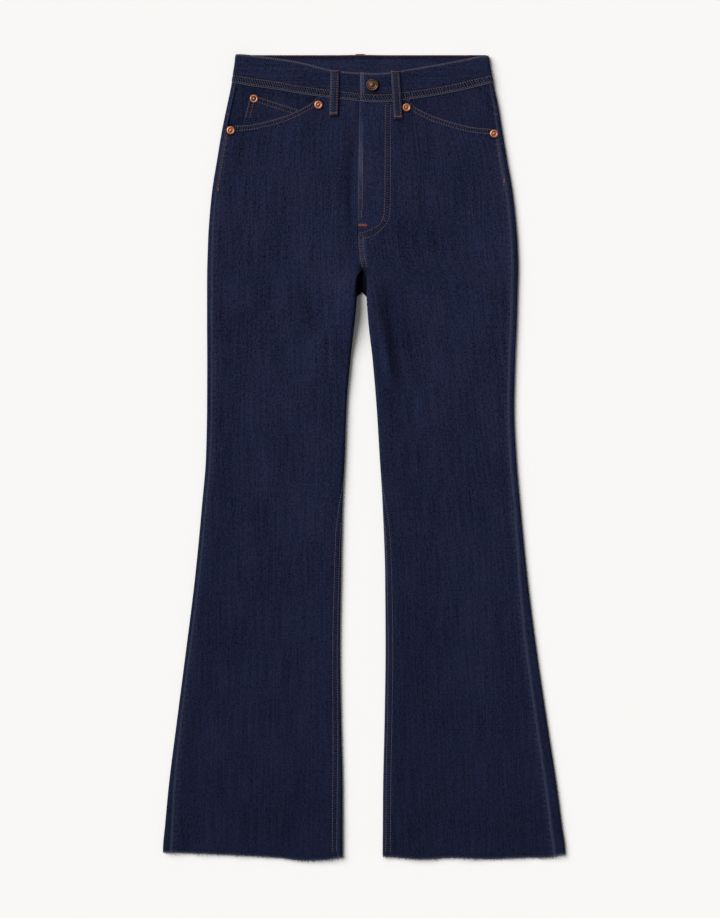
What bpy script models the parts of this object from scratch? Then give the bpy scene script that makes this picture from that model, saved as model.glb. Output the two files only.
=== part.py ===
"""Flared jeans lying flat on a surface, front side up.

The frame is +Y to the waist, +Z up and the surface at Z = 0. Right and left are the wearer's, so the
right leg is on the -X side. Tables are in millimetres, with Y measured up from the hem.
"""

import math
from collections import namedtuple

import bmesh
import bpy
from mathutils import Matrix, Vector

MM = 0.001
RIGHT, LEFT = -1, 1
Y_MIDDLE = 541.2  # of the whole length, where the origin lies

DENIM = 1.1  # wall of one layer
LIGHT_DENIM = 0.9  # pocket facings and coin pocket
BAND = 2.2  # waistband, two layers and the seam inside it
LOOP = 1.6
GAP = 0.3  # between neighbouring pieces

OUT_TURN = 4  # half-width of the outer folds in plan
OUT_FALL, IN_FALL = 45, 55  # how far a fold's height takes to settle to the middle's
FLAT_STEP = 20  # one unit of an edge coordinate, past the fold's crest

Station = namedtuple(
    "Station", "y out_r in_r in_l out_l fold inner middle turn seam_r seam_l inseam_r inseam_l"
)
# A row for each section up the garment: the outline's four edges, the height of the outer and inner folds
# and of the middle, the inner fold's half-width, and how far in from its edge each seam lies on top.
# Above the crotch, at 793, the inner edges are the front's centre seam.
STATIONS = (
    Station(0, -271.6, -29.0, 25.0, 271.6, 5.0, 5.0, 2.8, 3.0, 12.5, 15.5, 6.3, 2.7),
    Station(40, -268.6, -29.0, 25.3, 267.0, 5.0, 5.0, 2.8, 3.0, 11.0, 15.5, 6.0, 2.6),
    Station(88, -264.6, -29.0, 25.6, 261.2, 5.0, 5.0, 2.8, 3.0, 9.0, 15.5, 5.5, 2.5),
    Station(186, -252.5, -31.0, 27.7, 246.4, 5.2, 5.2, 2.8, 3.0, 6.2, 14.5, 3.0, 2.2),
    Station(283, -240.0, -32.4, 29.0, 232.2, 5.4, 5.5, 2.8, 3.2, 5.8, 14.0, 2.0, 2.0),
    Station(380, -228.0, -31.0, 28.4, 220.0, 5.6, 5.9, 2.9, 3.5, 5.8, 10.8, 1.3, 1.3),
    Station(477, -218.7, -29.0, 25.0, 210.6, 5.8, 6.3, 2.9, 3.8, 6.0, 8.2, 0.5, 0.5),
    Station(542, -213.4, -25.9, 21.0, 205.2, 6.0, 6.7, 3.0, 4.0, 6.5, 8.2, 0.1, 0.1),
    Station(607, -212.0, -23.6, 17.0, 202.6, 6.0, 7.1, 3.1, 4.3, 7.0, 8.4, 0.0, 0.0),
    Station(672, -211.8, -18.2, 11.5, 204.0, 6.2, 7.6, 3.4, 4.6, 7.3, 8.4, 0.0, 0.0),
    Station(720, -212.0, -12.8, 6.0, 206.0, 6.3, 8.0, 3.9, 5.0, 7.3, 8.4, 0.0, 0.0),
    Station(745, -212.0, -10.4, 4.0, 206.7, 6.3, 8.0, 4.3, 5.0, 7.3, 8.4, 0.0, 0.0),
    Station(755, -212.0, -9.2, 3.0, 207.0, 6.3, 8.0, 4.5, 5.0, 7.3, 8.4, 0.0, 0.0),
    Station(760, -212.0, -8.6, 2.5, 207.1, 6.3, 7.8, 4.6, 4.5, 7.3, 8.4, 0.3, 0.3),
    Station(776, -212.0, -6.0, 0.0, 207.6, 6.3, 6.8, 4.9, 3.0, 7.2, 8.4, 0.6, 0.6),
    Station(793, -211.8, -2.7, -2.7, 208.0, 6.3, 5.6, 5.2, 0.1, 7.2, 8.4, 0.1, 0.1),
    Station(815, -211.2, -7.35, -7.35, 207.6, 6.3, 5.4, 5.2, 0.1, 7.0, 8.4, 0.1, 0.1),
    Station(840, -210.3, -8.85, -8.85, 206.3, 6.3, 5.2, 5.2, 0.1, 6.6, 8.4, 0.1, 0.1),
    Station(856, -209.3, -8.85, -8.85, 205.0, 6.3, 5.2, 5.2, 0.1, 6.3, 8.4, 0.1, 0.1),
    Station(872, -208.0, -8.75, -8.75, 203.5, 6.3, 5.2, 5.2, 0.1, 6.0, 8.4, 0.1, 0.1),
    Station(901, -205.0, -8.25, -8.25, 200.0, 6.3, 5.2, 5.2, 0.1, 6.0, 8.4, 0.1, 0.1),
    Station(941.6, -198.5, -7.65, -7.65, 193.0, 6.3, 5.4, 5.4, 0.1, 6.0, 8.2, 0.1, 0.1),
    Station(982, -191.7, -7.05, -7.05, 186.3, 6.5, 5.7, 5.7, 0.1, 6.0, 7.8, 0.1, 0.1),
    Station(1014.5, -185.0, -6.45, -6.45, 181.0, 6.8, 6.0, 6.0, 0.1, 6.0, 7.0, 0.1, 0.1),
    Station(1044.8, -178.8, -6.05, -6.05, 174.6, 7.0, 6.0, 6.0, 0.1, 6.0, 6.4, 0.1, 0.1),
    Station(1084, -173.5, -6.05, -6.05, 168.0, 7.0, 6.0, 6.0, 0.1, 6.0, 6.4, 0.1, 0.1),
)
CROTCH_Y = 793  # where the front's centre seam meets the inseams
FORK_Y = 756  # the back's fork comes through between the legs from here up to the crotch
BACK_CENTRE = -2.7
VALLEY = 3.0  # height of the fork between the legs
BODY_Y = 941.6  # above this, panel rows follow the panel's own top edge

# The raw hem, above or below its level line, at each X.
HEM = ((-272, 7.8), (-190, 5), (-159, 3.4), (-117, 0.7), (-81, -3.1), (-54, -2), (-29, 1.5),
       (25, 2.3), (77, -1.2), (120, 0.7), (171, -1.2), (212, 0.7), (243, 1), (272, 5))
HEM_FADE = 90
# The waistband's edges on the front, and on the back.
BAND_LOW = ((-179, 1045), (-154, 1041), (-127, 1037.5), (-86, 1030.7), (-49, 1025.3), (-19, 1022),
            (15, 1018.6), (35, 1019.3), (55, 1022), (76, 1025), (103, 1029.4), (130, 1034.8), (157, 1041),
            (175, 1044.6))
BAND_TOP = ((-174, 1083.6), (-147, 1081.4), (-123, 1078.7), (-100, 1075.6), (-73, 1070), (-49, 1063.6),
            (-26, 1060.4), (-4, 1059), (15, 1058), (35, 1059.3), (62, 1063.8), (89, 1068.4), (116, 1073),
            (143, 1077.6), (168, 1081.4))
BAND_LOW_BACK, BAND_TOP_BACK = 1044.8, 1083.4
BAND_END = -5.4  # the overlapping end's edge, right of the button
UNDERLAP_END = 26
# The pocket mouths, from the side seam in to the waistband.
MOUTH_RIGHT = ((-192, 987), (-161, 988.2), (-146, 990.2), (-127, 994.5), (-113, 998.3), (-100, 1003),
               (-80, 1012.5), (-67.5, 1020), (-62, 1027))
MOUTH_LEFT = ((62, 1022.6), (66, 1014.6), (77, 1008), (91, 1001.5), (105, 996.6), (123, 991), (143, 986.2),
              (157, 984.3), (186, 983))
YOKE_CENTRE, YOKE_SIDE = 974, 1008  # the yoke seam, at the centre back and at the side

FLY_LOW, FLY_ROUND, FLY_WIDTH = 874, 22, 38  # the underlap's low end, how far it rounds up, and its reach
FLY_TUCK = 3  # how far the right front runs in under the fly's edge
FLY_LIFT = 1.5

BAND_HEIGHT, BAND_FOLD = 7.1, 8.3  # of the band's outer face on the front, and at its side folds
OVERLAP_LIFT, UNDERLAP_DROP = 2.0, 0.5

FACING_END, FACING_TUCK = 50, 14  # the facings' inner ends, and how far they run in under the fronts
FACING_DEPTH = {RIGHT: DENIM + LIGHT_DENIM + 2 * GAP, LEFT: DENIM + GAP}  # below the front's outer face
COIN_CORNER, COIN_END, COIN_LOW_X, COIN_TUCK = (-153.5, 1030), (-83, 1007.6), -165, 7

Loop = namedtuple("Loop", "name top_x top_y low_x low_y")
FRONT_LOOPS = (
    Loop("belt_loop_front_right", -39.4, 1062.6, -41.2, 1001),
    Loop("belt_loop_front_left", 41.6, 1061.2, 46.3, 996),
)
LOOP_WIDTH = 11.5
FACET = 0.35  # allows for the facets of the face that a piece lies on
LOOP_RISE = ((0, 0), (0.1, 0.1), (0.25, 1.2), (0.38, 1.6), (0.55, 1.3), (0.75, 1.0), (0.92, 0.2), (1, 0))
BACK_LOOP_X, BACK_LOOP_LIFT = -5, 1.9
BACK_LOOP_LOW, BACK_LOOP_TOP = 1022, 1085

Rivet = namedtuple("Rivet", "name x y depth")
RIVETS = (
    Rivet("rivet_coin_pocket", -148.5, 1024, DENIM + GAP),
    Rivet("rivet_right_inner", -61.3, 1015.5, 0),
    Rivet("rivet_right_outer", -179.6, 981, 0),
    Rivet("rivet_left_inner", 57.5, 1012, 0),
    Rivet("rivet_left_outer", 175.5, 976.5, 0),
)
RIVET = ((0, 0), (5.2, 0), (5.2, 0.5), (4.3, 1.1), (2.6, 0.9), (1.4, 1.6), (0, 1.7))
BUTTON_AT = (11.2, 1041.5)
BUTTON = ((0, 0), (3.5, 0), (3.5, 1.0), (7.2, 1.1), (8, 1.7), (8, 2.6), (7.2, 3.2), (6.2, 2.8), (2.6, 3.1),
          (0, 3.6))

Fold = namedtuple("Fold", "x0 y0 x1 y1 half_width height")
# The largest soft folds of the front: beside the left inner thigh, and the dip beside the fly.
FOLDS = (
    Fold(14, 770, 45, 610, 9, 1.6),
    Fold(28, 800, 66, 590, 12, -0.7),
    Fold(-16, 985, -17, 830, 9, -1.3),
    Fold(-38, 980, -36, 880, 12, 0.5),
)


def smooth(t):
    """A soft step from 0 to 1."""
    t = min(1.0, max(0.0, t))
    return t * t * (3 - 2 * t)


def along(points, x):
    """Height of an open line of (x, y) points at x."""
    if x <= points[0][0]:
        return points[0][1]
    for (x0, y0), (x1, y1) in zip(points, points[1:]):
        if x <= x1:
            return y0 + (y1 - y0) * (x - x0) / (x1 - x0)
    return points[-1][1]


def slope(values, levels, k):
    """Tangent of a monotone cubic through the table's values at row k."""
    if k in (0, len(values) - 1):
        return 0.0
    below = (values[k] - values[k - 1]) / (levels[k] - levels[k - 1])
    above = (values[k + 1] - values[k]) / (levels[k + 1] - levels[k])
    return 0.0 if below * above <= 0 else 2 * below * above / (below + above)


def station(y):
    """The station table read at any height."""
    levels = [row.y for row in STATIONS]
    k = max(0, min(len(levels) - 2, sum(level <= y for level in levels) - 1))
    span = levels[k + 1] - levels[k]
    t = min(1.0, max(0.0, (y - levels[k]) / span))
    read = [y]
    for column in range(1, len(Station._fields)):
        values = [row[column] for row in STATIONS]
        start, end = slope(values, levels, k) * span, slope(values, levels, k + 1) * span
        read.append(
            values[k] * (2 * t**3 - 3 * t**2 + 1) + start * (t**3 - 2 * t**2 + t)
            + values[k + 1] * (3 * t**2 - 2 * t**3) + end * (t**3 - t**2)
        )
    return Station(*read)


def hem(x, y):
    """How far the hem's own line moves a point near it."""
    return along(HEM, x) * (1 - smooth(y / HEM_FADE))


def fold_height(x, y):
    """The large soft folds: each is a ridge or a dip along a line, fading at its ends."""
    total = 0.0
    for fold in FOLDS:
        run = Vector((fold.x1 - fold.x0, fold.y1 - fold.y0))
        reach = Vector((x - fold.x0, y - fold.y0))
        t = reach.dot(run) / run.length_squared
        across = abs(run.x * reach.y - run.y * reach.x) / run.length
        ends = smooth(4 * t) * smooth(4 * (1 - t))
        total += fold.height * ends * (1 - smooth(across / (2 * fold.half_width)))
    return total


def underside(x, y):
    """Height of the back's outer face: flat, but for the belt loop that it lies on."""
    return BACK_LOOP_LIFT * (1 - smooth((abs(x - BACK_LOOP_X) - 8) / 22)) * smooth((y - 1000) / 12)


class Section:
    """One leg or hip of the garment cut across at a height.

    An edge coordinate w runs round a fold: 0 is its outermost point, 1 its crest and -1 where it meets the
    underside. Past those it goes on over the top or the underside, by FLAT_STEP for each unit.
    """

    def __init__(self, side, y):
        row = station(y)
        self.side, self.y, self.row = side, y, row
        self.x_out = row.out_r if side == RIGHT else row.out_l
        self.x_in = row.in_r if side == RIGHT else row.in_l
        seam = row.seam_r if side == RIGHT else row.seam_l
        inseam = row.inseam_r if side == RIGHT else row.inseam_l
        self.outseam = self.coordinate(seam, OUT_TURN)
        self.inseam = self.coordinate(inseam, row.turn)

    @staticmethod
    def coordinate(inset, turn):
        if inset >= turn:
            return 1 + (inset - turn) / FLAT_STEP
        return 2 / math.pi * math.acos(1 - inset / turn)

    def lift(self, x):
        """The left front stands over the fly's underlap."""
        if self.side == RIGHT:
            return 0.0
        return FLY_LIFT * smooth((self.y - 836) / 18) * (1 - smooth((x - FLY_WIDTH + 4) / 25))

    def top(self, x):
        row = self.row
        from_out = abs(x - self.x_out) - OUT_TURN
        from_in = abs(x - self.x_in) - row.turn
        return (
            row.middle
            + (row.fold - row.middle) * (1 - smooth(from_out / OUT_FALL))
            + (row.inner - row.middle) * (1 - smooth(from_in / IN_FALL))
            + self.lift(x)
            + fold_height(x, self.y) * smooth(from_in / 10)
        )

    def on_top(self, x, depth=0.0):
        """A point of the top at x, moved in by depth, and its unit normal in the section."""
        z = self.top(x)
        tilt = self.top(x + 0.5) - self.top(x - 0.5)
        normal = Vector((-tilt, 1)).normalized()
        return Vector((x, z)) - normal * depth, normal

    def under(self, x):
        tilt = underside(x + 0.5, self.y) - underside(x - 0.5, self.y)
        return Vector((x, underside(x, self.y))), Vector((tilt, -1)).normalized()

    def at(self, outer, w):
        """A point and its outward normal, at the edge coordinate w of the outer or the inner fold."""
        edge = self.x_out if outer else self.x_in
        turn = OUT_TURN if outer else self.row.turn
        away = self.side if outer else -self.side
        height = self.row.fold if outer else self.row.inner + self.lift(edge)
        if w > 1:
            return self.on_top(edge - away * (turn + (w - 1) * FLAT_STEP))
        if w < -1:
            return self.under(edge - away * (turn + (-w - 1) * FLAT_STEP))
        across, up = math.cos(w * math.pi / 2), math.sin(w * math.pi / 2)
        point = Vector((edge - away * turn * (1 - across), height / 2 * (1 + up)))
        return point, Vector((away * across / turn, 2 * up / height)).normalized()

    def seam(self, outer, way):
        """The edge coordinate of a seam's line on one side of its gap: 1 towards the front, -1 the back."""
        w = self.outseam if outer else self.inseam
        turn = OUT_TURN if outer else max(self.row.turn, 1)
        unit = FLAT_STEP if w >= 1 else 1.3 * turn
        return w + way * GAP / 2 / unit


FRONT_OUTER = (0, 0.45, 1)  # shares of the way in from the outseam to 1.6 units
FRONT_INNER = (0, 0.12, 0.24, 0.36, 0.5, 0.7, 1)  # from the inseam to 2 units
BACK_OUTER = tuple(k / 9 for k in range(10))  # from the underside to the outseam
BACK_INNER = tuple(k / 6 for k in range(7))  # from the underside to the inseam
BACK_MIDDLE = 5
POCKET_CORNER = {RIGHT: 0.71, LEFT: 0.645}  # the column that ends at the pocket mouth's inner corner


def front_columns(side):
    corner = POCKET_CORNER[side]
    middle = (0.3 * corner, 0.64 * corner, 0.84 * corner, corner, (1 + corner) / 2)
    return (
        [("outer", share) for share in FRONT_OUTER]
        + [("middle", share) for share in middle]
        + [("inner", share) for share in reversed(FRONT_INNER)]
    )


def front_point(side, column, y):
    """A point and normal of the front, in its section at y."""
    section = Section(side, y)
    kind, share = column
    start, end = section.seam(True, 1), section.seam(False, 1)
    reach = max(1.6, start + 0.2)
    if kind == "outer":
        return section.at(True, start + (reach - start) * share)
    if kind == "inner":
        point, normal = section.at(False, end + (2 - end) * share)
        if side == RIGHT:
            tuck = (GAP + FLY_TUCK) * smooth((y - 858) / 14) * (1 - share)
            point = Vector((point.x + tuck, point.y))
        return point, normal
    x_start = section.at(True, reach)[0].x
    x_end = section.at(False, 2)[0].x
    return section.on_top(x_start + (x_end - x_start) * share)


def band_low(x, w=1):
    """The band's lower edge, on the front or at the coordinate w of a side fold."""
    back_share = (1 - w) / 2
    return along(BAND_LOW, x) * (1 - back_share) + BAND_LOW_BACK * back_share


def waist_seam(x, w=1):
    return band_low(x, w) - 2 * GAP


def mouth(side, x):
    return along(MOUTH_RIGHT if side == RIGHT else MOUTH_LEFT, x)


def front_top(side, x):
    """The upper edge of a front: the waist seam, and the pocket mouth from its corner out to the side."""
    if abs(x) <= 62:
        return waist_seam(x)
    return min(waist_seam(x), mouth(side, x))


def yoke_seam(side, x, on_fold):
    """The yoke's lower seam: straight from the centre back to the outer fold, and level round it."""
    fold = abs(Section(side, YOKE_SIDE).at(True, -1)[0].x - BACK_CENTRE)
    share = 1 if on_fold else abs(x - BACK_CENTRE) / fold
    return YOKE_CENTRE + (YOKE_SIDE - YOKE_CENTRE) * share


def settle(place, low, share, top):
    """The height at which a column meets its share of the way from low up to the edge line top(x)."""
    y = low
    for _ in range(8):
        x = place(y).x
        y = low + share * (top(x) - low)
    return y


def lying(y, outer, inner):
    """A wall's outer and inner points in the section at y, as table points."""
    y += hem(outer.x, y)
    return (outer.x, y, outer.y), (inner.x, y, inner.y)


def finish_of(name, colour, roughness=0.85, metallic=0.0):
    material = bpy.data.materials.new(name)
    material.use_nodes = True
    shader = material.node_tree.nodes["Principled BSDF"]
    shader.inputs["Base Color"].default_value = (*colour, 1)
    shader.inputs["Roughness"].default_value = roughness
    shader.inputs["Metallic"].default_value = metallic
    return material


def finish(name, bm, material):
    bmesh.ops.recalc_face_normals(bm, faces=bm.faces)
    mesh = bpy.data.meshes.new(name)
    bm.to_mesh(mesh)
    bm.free()
    mesh.materials.append(material)
    mesh.shade_smooth()
    mesh.set_sharp_from_angle(angle=math.radians(40))
    obj = bpy.data.objects.new(name, mesh)
    bpy.context.scene.collection.objects.link(obj)
    return obj


def to_frame(point):
    """A table point as metres in the part's frame."""
    x, y, z = point
    return Vector((x, y - Y_MIDDLE, z)) * MM


def wall(name, columns, rows, place, material, left_out=None):
    """A closed wall of cloth: a grid of columns x rows faces, whose two sides are at place(i, j), in mm."""
    bm = bmesh.new()
    bmesh.ops.create_grid(bm, x_segments=columns, y_segments=rows, size=1)

    def cell(co):
        return round((co.x + 1) / 2 * columns), round((co.y + 1) / 2 * rows)

    if left_out:
        gone = [
            f for f in bm.faces
            if left_out(min(cell(v.co)[0] for v in f.verts), min(cell(v.co)[1] for v in f.verts))
        ]
        bmesh.ops.delete(bm, geom=gone, context="FACES")
    made = bmesh.ops.extrude_face_region(bm, geom=bm.faces[:], use_keep_orig=True)
    inner = {v for v in made["geom"] if isinstance(v, bmesh.types.BMVert)}
    cells = {v: cell(v.co) for v in bm.verts}
    for vert, (i, j) in cells.items():
        outer_point, inner_point = place(i, j)
        vert.co = to_frame(inner_point if vert in inner else outer_point)
    return finish(name, bm, material)


def make_front(side, name, material):
    columns = front_columns(side)
    levels = [row.y for row in STATIONS if row.y <= BODY_Y]
    shares = (0.35, 0.7, 1)

    def place(i, j):
        column = columns[i]
        if j < len(levels):
            y = levels[j]
        else:
            share = shares[j - len(levels)]
            y = settle(lambda h: front_point(side, column, h)[0], BODY_Y, share, lambda x: front_top(side, x))
        point, normal = front_point(side, column, y)
        return lying(y, point, point - normal * DENIM)

    return wall(name, len(columns) - 1, len(levels) + len(shares) - 1, place, material)


def fork_point(section, k):
    """Between the legs, from the underside's corner at the centre, up and out to the inseam."""
    side = section.side
    x = BACK_CENTRE + side * GAP / 2
    corner = Vector((x, 0)), Vector((x + side * DENIM, DENIM))
    valley = Vector((x, VALLEY)), Vector((x + side * DENIM, VALLEY - DENIM))
    if k < 2:
        return (corner, valley)[k]
    if section.y < CROTCH_Y:
        seam = section.at(False, section.seam(False, -1))[0]
    else:
        seam = Vector((x, section.row.inner - DENIM - GAP))
    run = seam - valley[0]
    normal = Vector((-run.y, run.x)).normalized() * side
    share = (k - 1) / (len(BACK_INNER) - 2)
    point = valley[0] + run * share
    start, end = valley[1], seam - normal * DENIM
    return point, start + (end - start) * share


def back_point(side, i, y):
    """The outer and inner points of column i of a back, from its inner edge to the outseam."""
    section = Section(side, y)
    inner_count, outer_start = len(BACK_INNER) - 1, len(BACK_INNER) - 1 + BACK_MIDDLE
    fork = FORK_Y < y
    if i < inner_count:
        k = inner_count - i
        if fork:
            return fork_point(section, k)
        point, normal = section.at(False, -1 + (section.seam(False, -1) + 1) * BACK_INNER[k])
    elif i <= outer_start:
        x_in = BACK_CENTRE + side * GAP / 2 if fork else section.at(False, -1)[0].x
        x_out = section.at(True, -1)[0].x
        if fork and i == inner_count and y <= CROTCH_Y:
            return fork_point(section, 0)
        point, normal = section.under(x_in + (x_out - x_in) * (i - inner_count) / BACK_MIDDLE)
    else:
        point, normal = section.at(True, -1 + (section.seam(True, -1) + 1) * BACK_OUTER[i - outer_start])
    return point, point - normal * DENIM


def make_back(side, name, material):
    levels = [row.y for row in STATIONS if row.y <= BODY_Y]
    crotch_row = levels.index(CROTCH_Y)
    shares = (0.5, 1)
    inner_count = len(BACK_INNER) - 1

    def place(i, j):
        if j < len(levels):
            return lying(levels[j], *back_point(side, i, levels[j]))
        on_fold = i >= inner_count + BACK_MIDDLE
        y = settle(
            lambda h: back_point(side, i, h)[0], BODY_Y, shares[j - len(levels)],
            lambda x: yoke_seam(side, x, on_fold) - GAP,
        )
        return lying(y, *back_point(side, i, y))

    return wall(
        name, inner_count + BACK_MIDDLE + len(BACK_OUTER) - 1, len(levels) + len(shares) - 1, place, material,
        left_out=lambda i, j: i < inner_count and j >= crotch_row,
    )


def make_yoke(side, name, material):
    """From the centre back out and round the outer fold, between the yoke seam and the band."""
    middle = (0, 0.03, 0.08, 0.16, 0.3, 0.5, 0.75)
    columns = [(False, share) for share in middle] + [(True, share) for share in BACK_OUTER]
    rows = (0, 0.5, 1)

    def fold_coordinate(section, share):
        return -1 + (section.seam(True, -1) + 1) * share

    def column_at(i, y):
        section = Section(side, y)
        on_fold, share = columns[i]
        if on_fold:
            return section.at(True, fold_coordinate(section, share))
        x_in, x_out = BACK_CENTRE + side * GAP / 2, section.at(True, -1)[0].x
        return section.under(x_in + (x_out - x_in) * share)

    def place(i, j):
        on_fold, share = columns[i]
        w = min(1, fold_coordinate(Section(side, BAND_LOW_BACK), share)) if on_fold else -1
        low = settle(lambda h: column_at(i, h)[0], YOKE_CENTRE, 1, lambda x: yoke_seam(side, x, on_fold))
        y = settle(lambda h: column_at(i, h)[0], low, rows[j], lambda x: waist_seam(x, w))
        point, normal = column_at(i, y)
        return lying(y, point, point - normal * DENIM)

    return wall(name, len(columns) - 1, len(rows) - 1, place, material)


def band_height(x, side):
    """Height of the waistband's outer face on the front. The left end lies over the right one."""
    if side == RIGHT:
        return BAND_HEIGHT - UNDERLAP_DROP * smooth((x + 30) / 22)
    return BAND_HEIGHT + OVERLAP_LIFT * (1 - smooth((x - 30) / 40))


def band_front(side, x):
    """A point of the band's front and its normal, rising to the fold's crest at the side."""
    edge = Section(side, BAND_LOW_BACK).x_out

    def height(at):
        rise = 1 - smooth((abs(at - edge) - OUT_TURN) / OUT_FALL)
        return band_height(at, side) + (BAND_FOLD - BAND_HEIGHT) * rise

    tilt = height(x + 0.5) - height(x - 0.5)
    return Vector((x, height(x))), Vector((-tilt, 1)).normalized()


BAND_FRONT = (5, 15, 30, 42, 56, 74, 95, 120, 142)  # distances from the centre
BAND_BACK = (0, 8, 14, 20, 30, 70, 110, 145)
BAND_TURNS = tuple(1 - k / 4 for k in range(9))  # edge coordinates round a fold, from the crest down
BAND_ROWS = (0, 0.35, 0.7, 1)


def make_waistband(material):
    """One strip, from its overlapping end across the left front, round the back and on to the underlap."""
    columns = (
        [(LEFT, "front", BAND_END)]
        + [(LEFT, "front", x) for x in BAND_FRONT[1:]]
        + [(LEFT, "fold", w) for w in BAND_TURNS]
        + [(LEFT, "back", x) for x in reversed(BAND_BACK)]
        + [(RIGHT, "back", -x) for x in BAND_BACK[1:]]
        + [(RIGHT, "fold", w) for w in reversed(BAND_TURNS)]
        + [(RIGHT, "front", -x) for x in reversed(BAND_FRONT)]
        + [(RIGHT, "front", x) for x in (6, UNDERLAP_END)]
    )

    def place(i, j):
        side, layer, value = columns[i]
        if layer == "front":
            point, normal = band_front(side, value)
            back_share = 0
        elif layer == "back":
            x = value + (BACK_LOOP_X if abs(value) <= 30 else 0)
            tilt = underside(x + 0.5, BAND_LOW_BACK) - underside(x - 0.5, BAND_LOW_BACK)
            point = Vector((x, underside(x, BAND_LOW_BACK)))
            normal = Vector((tilt, -1)).normalized()
            back_share = 1
        else:
            edge = Section(side, BAND_LOW_BACK).x_out
            across, up = math.cos(value * math.pi / 2), math.sin(value * math.pi / 2)
            point = Vector((edge - side * OUT_TURN * (1 - across), BAND_FOLD / 2 * (1 + up)))
            normal = Vector((side * across / OUT_TURN, 2 * up / BAND_FOLD)).normalized()
            back_share = (1 - value) / 2
        low = band_low(point.x, 1 - 2 * back_share)
        high = along(BAND_TOP, point.x) * (1 - back_share) + BAND_TOP_BACK * back_share
        if layer == "front" and side == RIGHT and value > BAND_END:
            low, high = low + 1.2, high - 1.2  # the underlap keeps out of sight
        y = low + (high - low) * BAND_ROWS[j]
        narrow = BAND_ROWS[j] * (Section(side, BAND_LOW_BACK).x_out - Section(side, 1084).x_out)
        share = smooth((abs(point.x) - 90) / 85)
        inner = point - normal * BAND
        return (point.x - narrow * share, y, point.y), (inner.x - narrow * share, y, inner.y)

    return wall("waistband", len(columns) - 1, len(BAND_ROWS) - 1, place, material)


def make_facing(side, name, depth, material):
    """The panel behind a pocket mouth, from the waist seam down past the mouth and in under the front."""
    shares = tuple(k / 8 for k in range(9))
    rows = (0, 0.3, 0.65, 1)

    def place(i, j):
        def column(y):
            section = Section(side, y)
            start = section.at(True, section.seam(True, 1))[0].x
            return section.on_top(start + (side * FACING_END - start) * shares[i], depth)

        x = column(mouth(side, side * 120))[0].x
        low = min(mouth(side, x), mouth(side, side * 66)) - FACING_TUCK
        y = settle(lambda h: column(h)[0], low, rows[j], waist_seam)
        point, normal = column(y)
        return lying(y, point, point - normal * LIGHT_DENIM)

    return wall(name, len(shares) - 1, len(rows) - 1, place, material)


def make_coin_pocket(material):
    """A patch on the right facing, cut by the pocket mouth, whose lower part runs in under the front."""
    rows = (0, 0.5, 1)
    count = 7

    def place(i, j):
        top_x = COIN_CORNER[0] + (COIN_END[0] - COIN_CORNER[0]) * i / count
        top_y = COIN_CORNER[1] + (COIN_END[1] - COIN_CORNER[1]) * i / count
        low_x = COIN_LOW_X + (COIN_END[0] - COIN_LOW_X) * i / count
        low_y = mouth(RIGHT, low_x) - COIN_TUCK
        x, y = low_x + (top_x - low_x) * rows[j], low_y + (top_y - low_y) * rows[j]
        point, normal = Section(RIGHT, y).on_top(x, DENIM + GAP)
        return lying(y, point, point - normal * LIGHT_DENIM)

    return wall("coin_pocket", count, len(rows) - 1, place, material)


def make_fly_shield(material):
    """The underlap that the fly closes onto, sewn to the right front's edge."""
    shares = (0, 0.3, 0.65, 1)
    rows = (0, 0.15, 0.4, 0.7, 1)

    def place(i, j):
        def column(y):
            start = front_point(RIGHT, ("inner", 0), y)[0].x + GAP
            x = start + (FLY_WIDTH - 10 - start) * shares[i]
            section = Section(LEFT, y)
            return Vector((x, section.top(x) - section.lift(x)))

        y = settle(column, FLY_LOW + FLY_ROUND * shares[i] ** 2, rows[j], waist_seam)
        point = column(y)
        return lying(y, point, point - Vector((0, DENIM)))

    return wall("fly_shield", len(shares) - 1, len(rows) - 1, place, material)


def front_surface(side, x, y):
    """The outer face that a front belt loop or a rivet lies on."""
    if y >= along(BAND_LOW, x):
        return band_front(side, x)[0].y
    return Section(side, y).top(x)


def make_front_loop(loop, name, material):
    """A strip sewn down at both ends, a little proud of the band between them."""
    side = RIGHT if loop.top_x < 0 else LEFT
    across = (-0.5, 0, 0.5)

    def place(i, j):
        share, rise = LOOP_RISE[j]
        x = loop.low_x + (loop.top_x - loop.low_x) * share + across[i] * LOOP_WIDTH
        y = loop.low_y + (loop.top_y - loop.low_y) * share
        z = front_surface(side, x, y) + GAP + FACET + rise
        return (x, y, z + LOOP), (x, y, z)

    return wall(name, len(across) - 1, len(LOOP_RISE) - 1, place, material)


def make_back_loop(material):
    """The centre back's loop, flat under the band, with its folded top just past the band's edge."""

    def place(i, j):
        x = BACK_LOOP_X + (i - 0.5) * LOOP_WIDTH
        y = BACK_LOOP_LOW + (BACK_LOOP_TOP - BACK_LOOP_LOW) * j / 3
        return (x, y, LOOP), (x, y, 0)

    return wall("belt_loop_back", 1, 3, place, material)


def turned(name, profile, steps, place, material):
    """A turned piece from a profile of (radius, height), stood where the matrix place puts it."""
    bm = bmesh.new()
    verts = [bm.verts.new(Vector((r, 0, z)) * MM) for r, z in profile]
    edges = [bm.edges.new(pair) for pair in zip(verts, verts[1:])]
    bmesh.ops.spin(
        bm, geom=verts + edges, cent=(0, 0, 0), axis=(0, 0, 1), angle=math.tau, steps=steps, use_merge=True
    )
    bmesh.ops.remove_doubles(bm, verts=bm.verts, dist=1e-6)
    obj = finish(name, bm, material)
    obj.matrix_world = place
    return obj


def stood_on(point, normal):
    """The placing of a turned piece whose base lies GAP off a face's point."""
    axis = normal.normalized()
    turn = Vector((0, 0, 1)).rotation_difference(axis).to_matrix().to_4x4()
    return Matrix.Translation(to_frame(point) + axis * (GAP + FACET) * MM) @ turn


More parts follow.
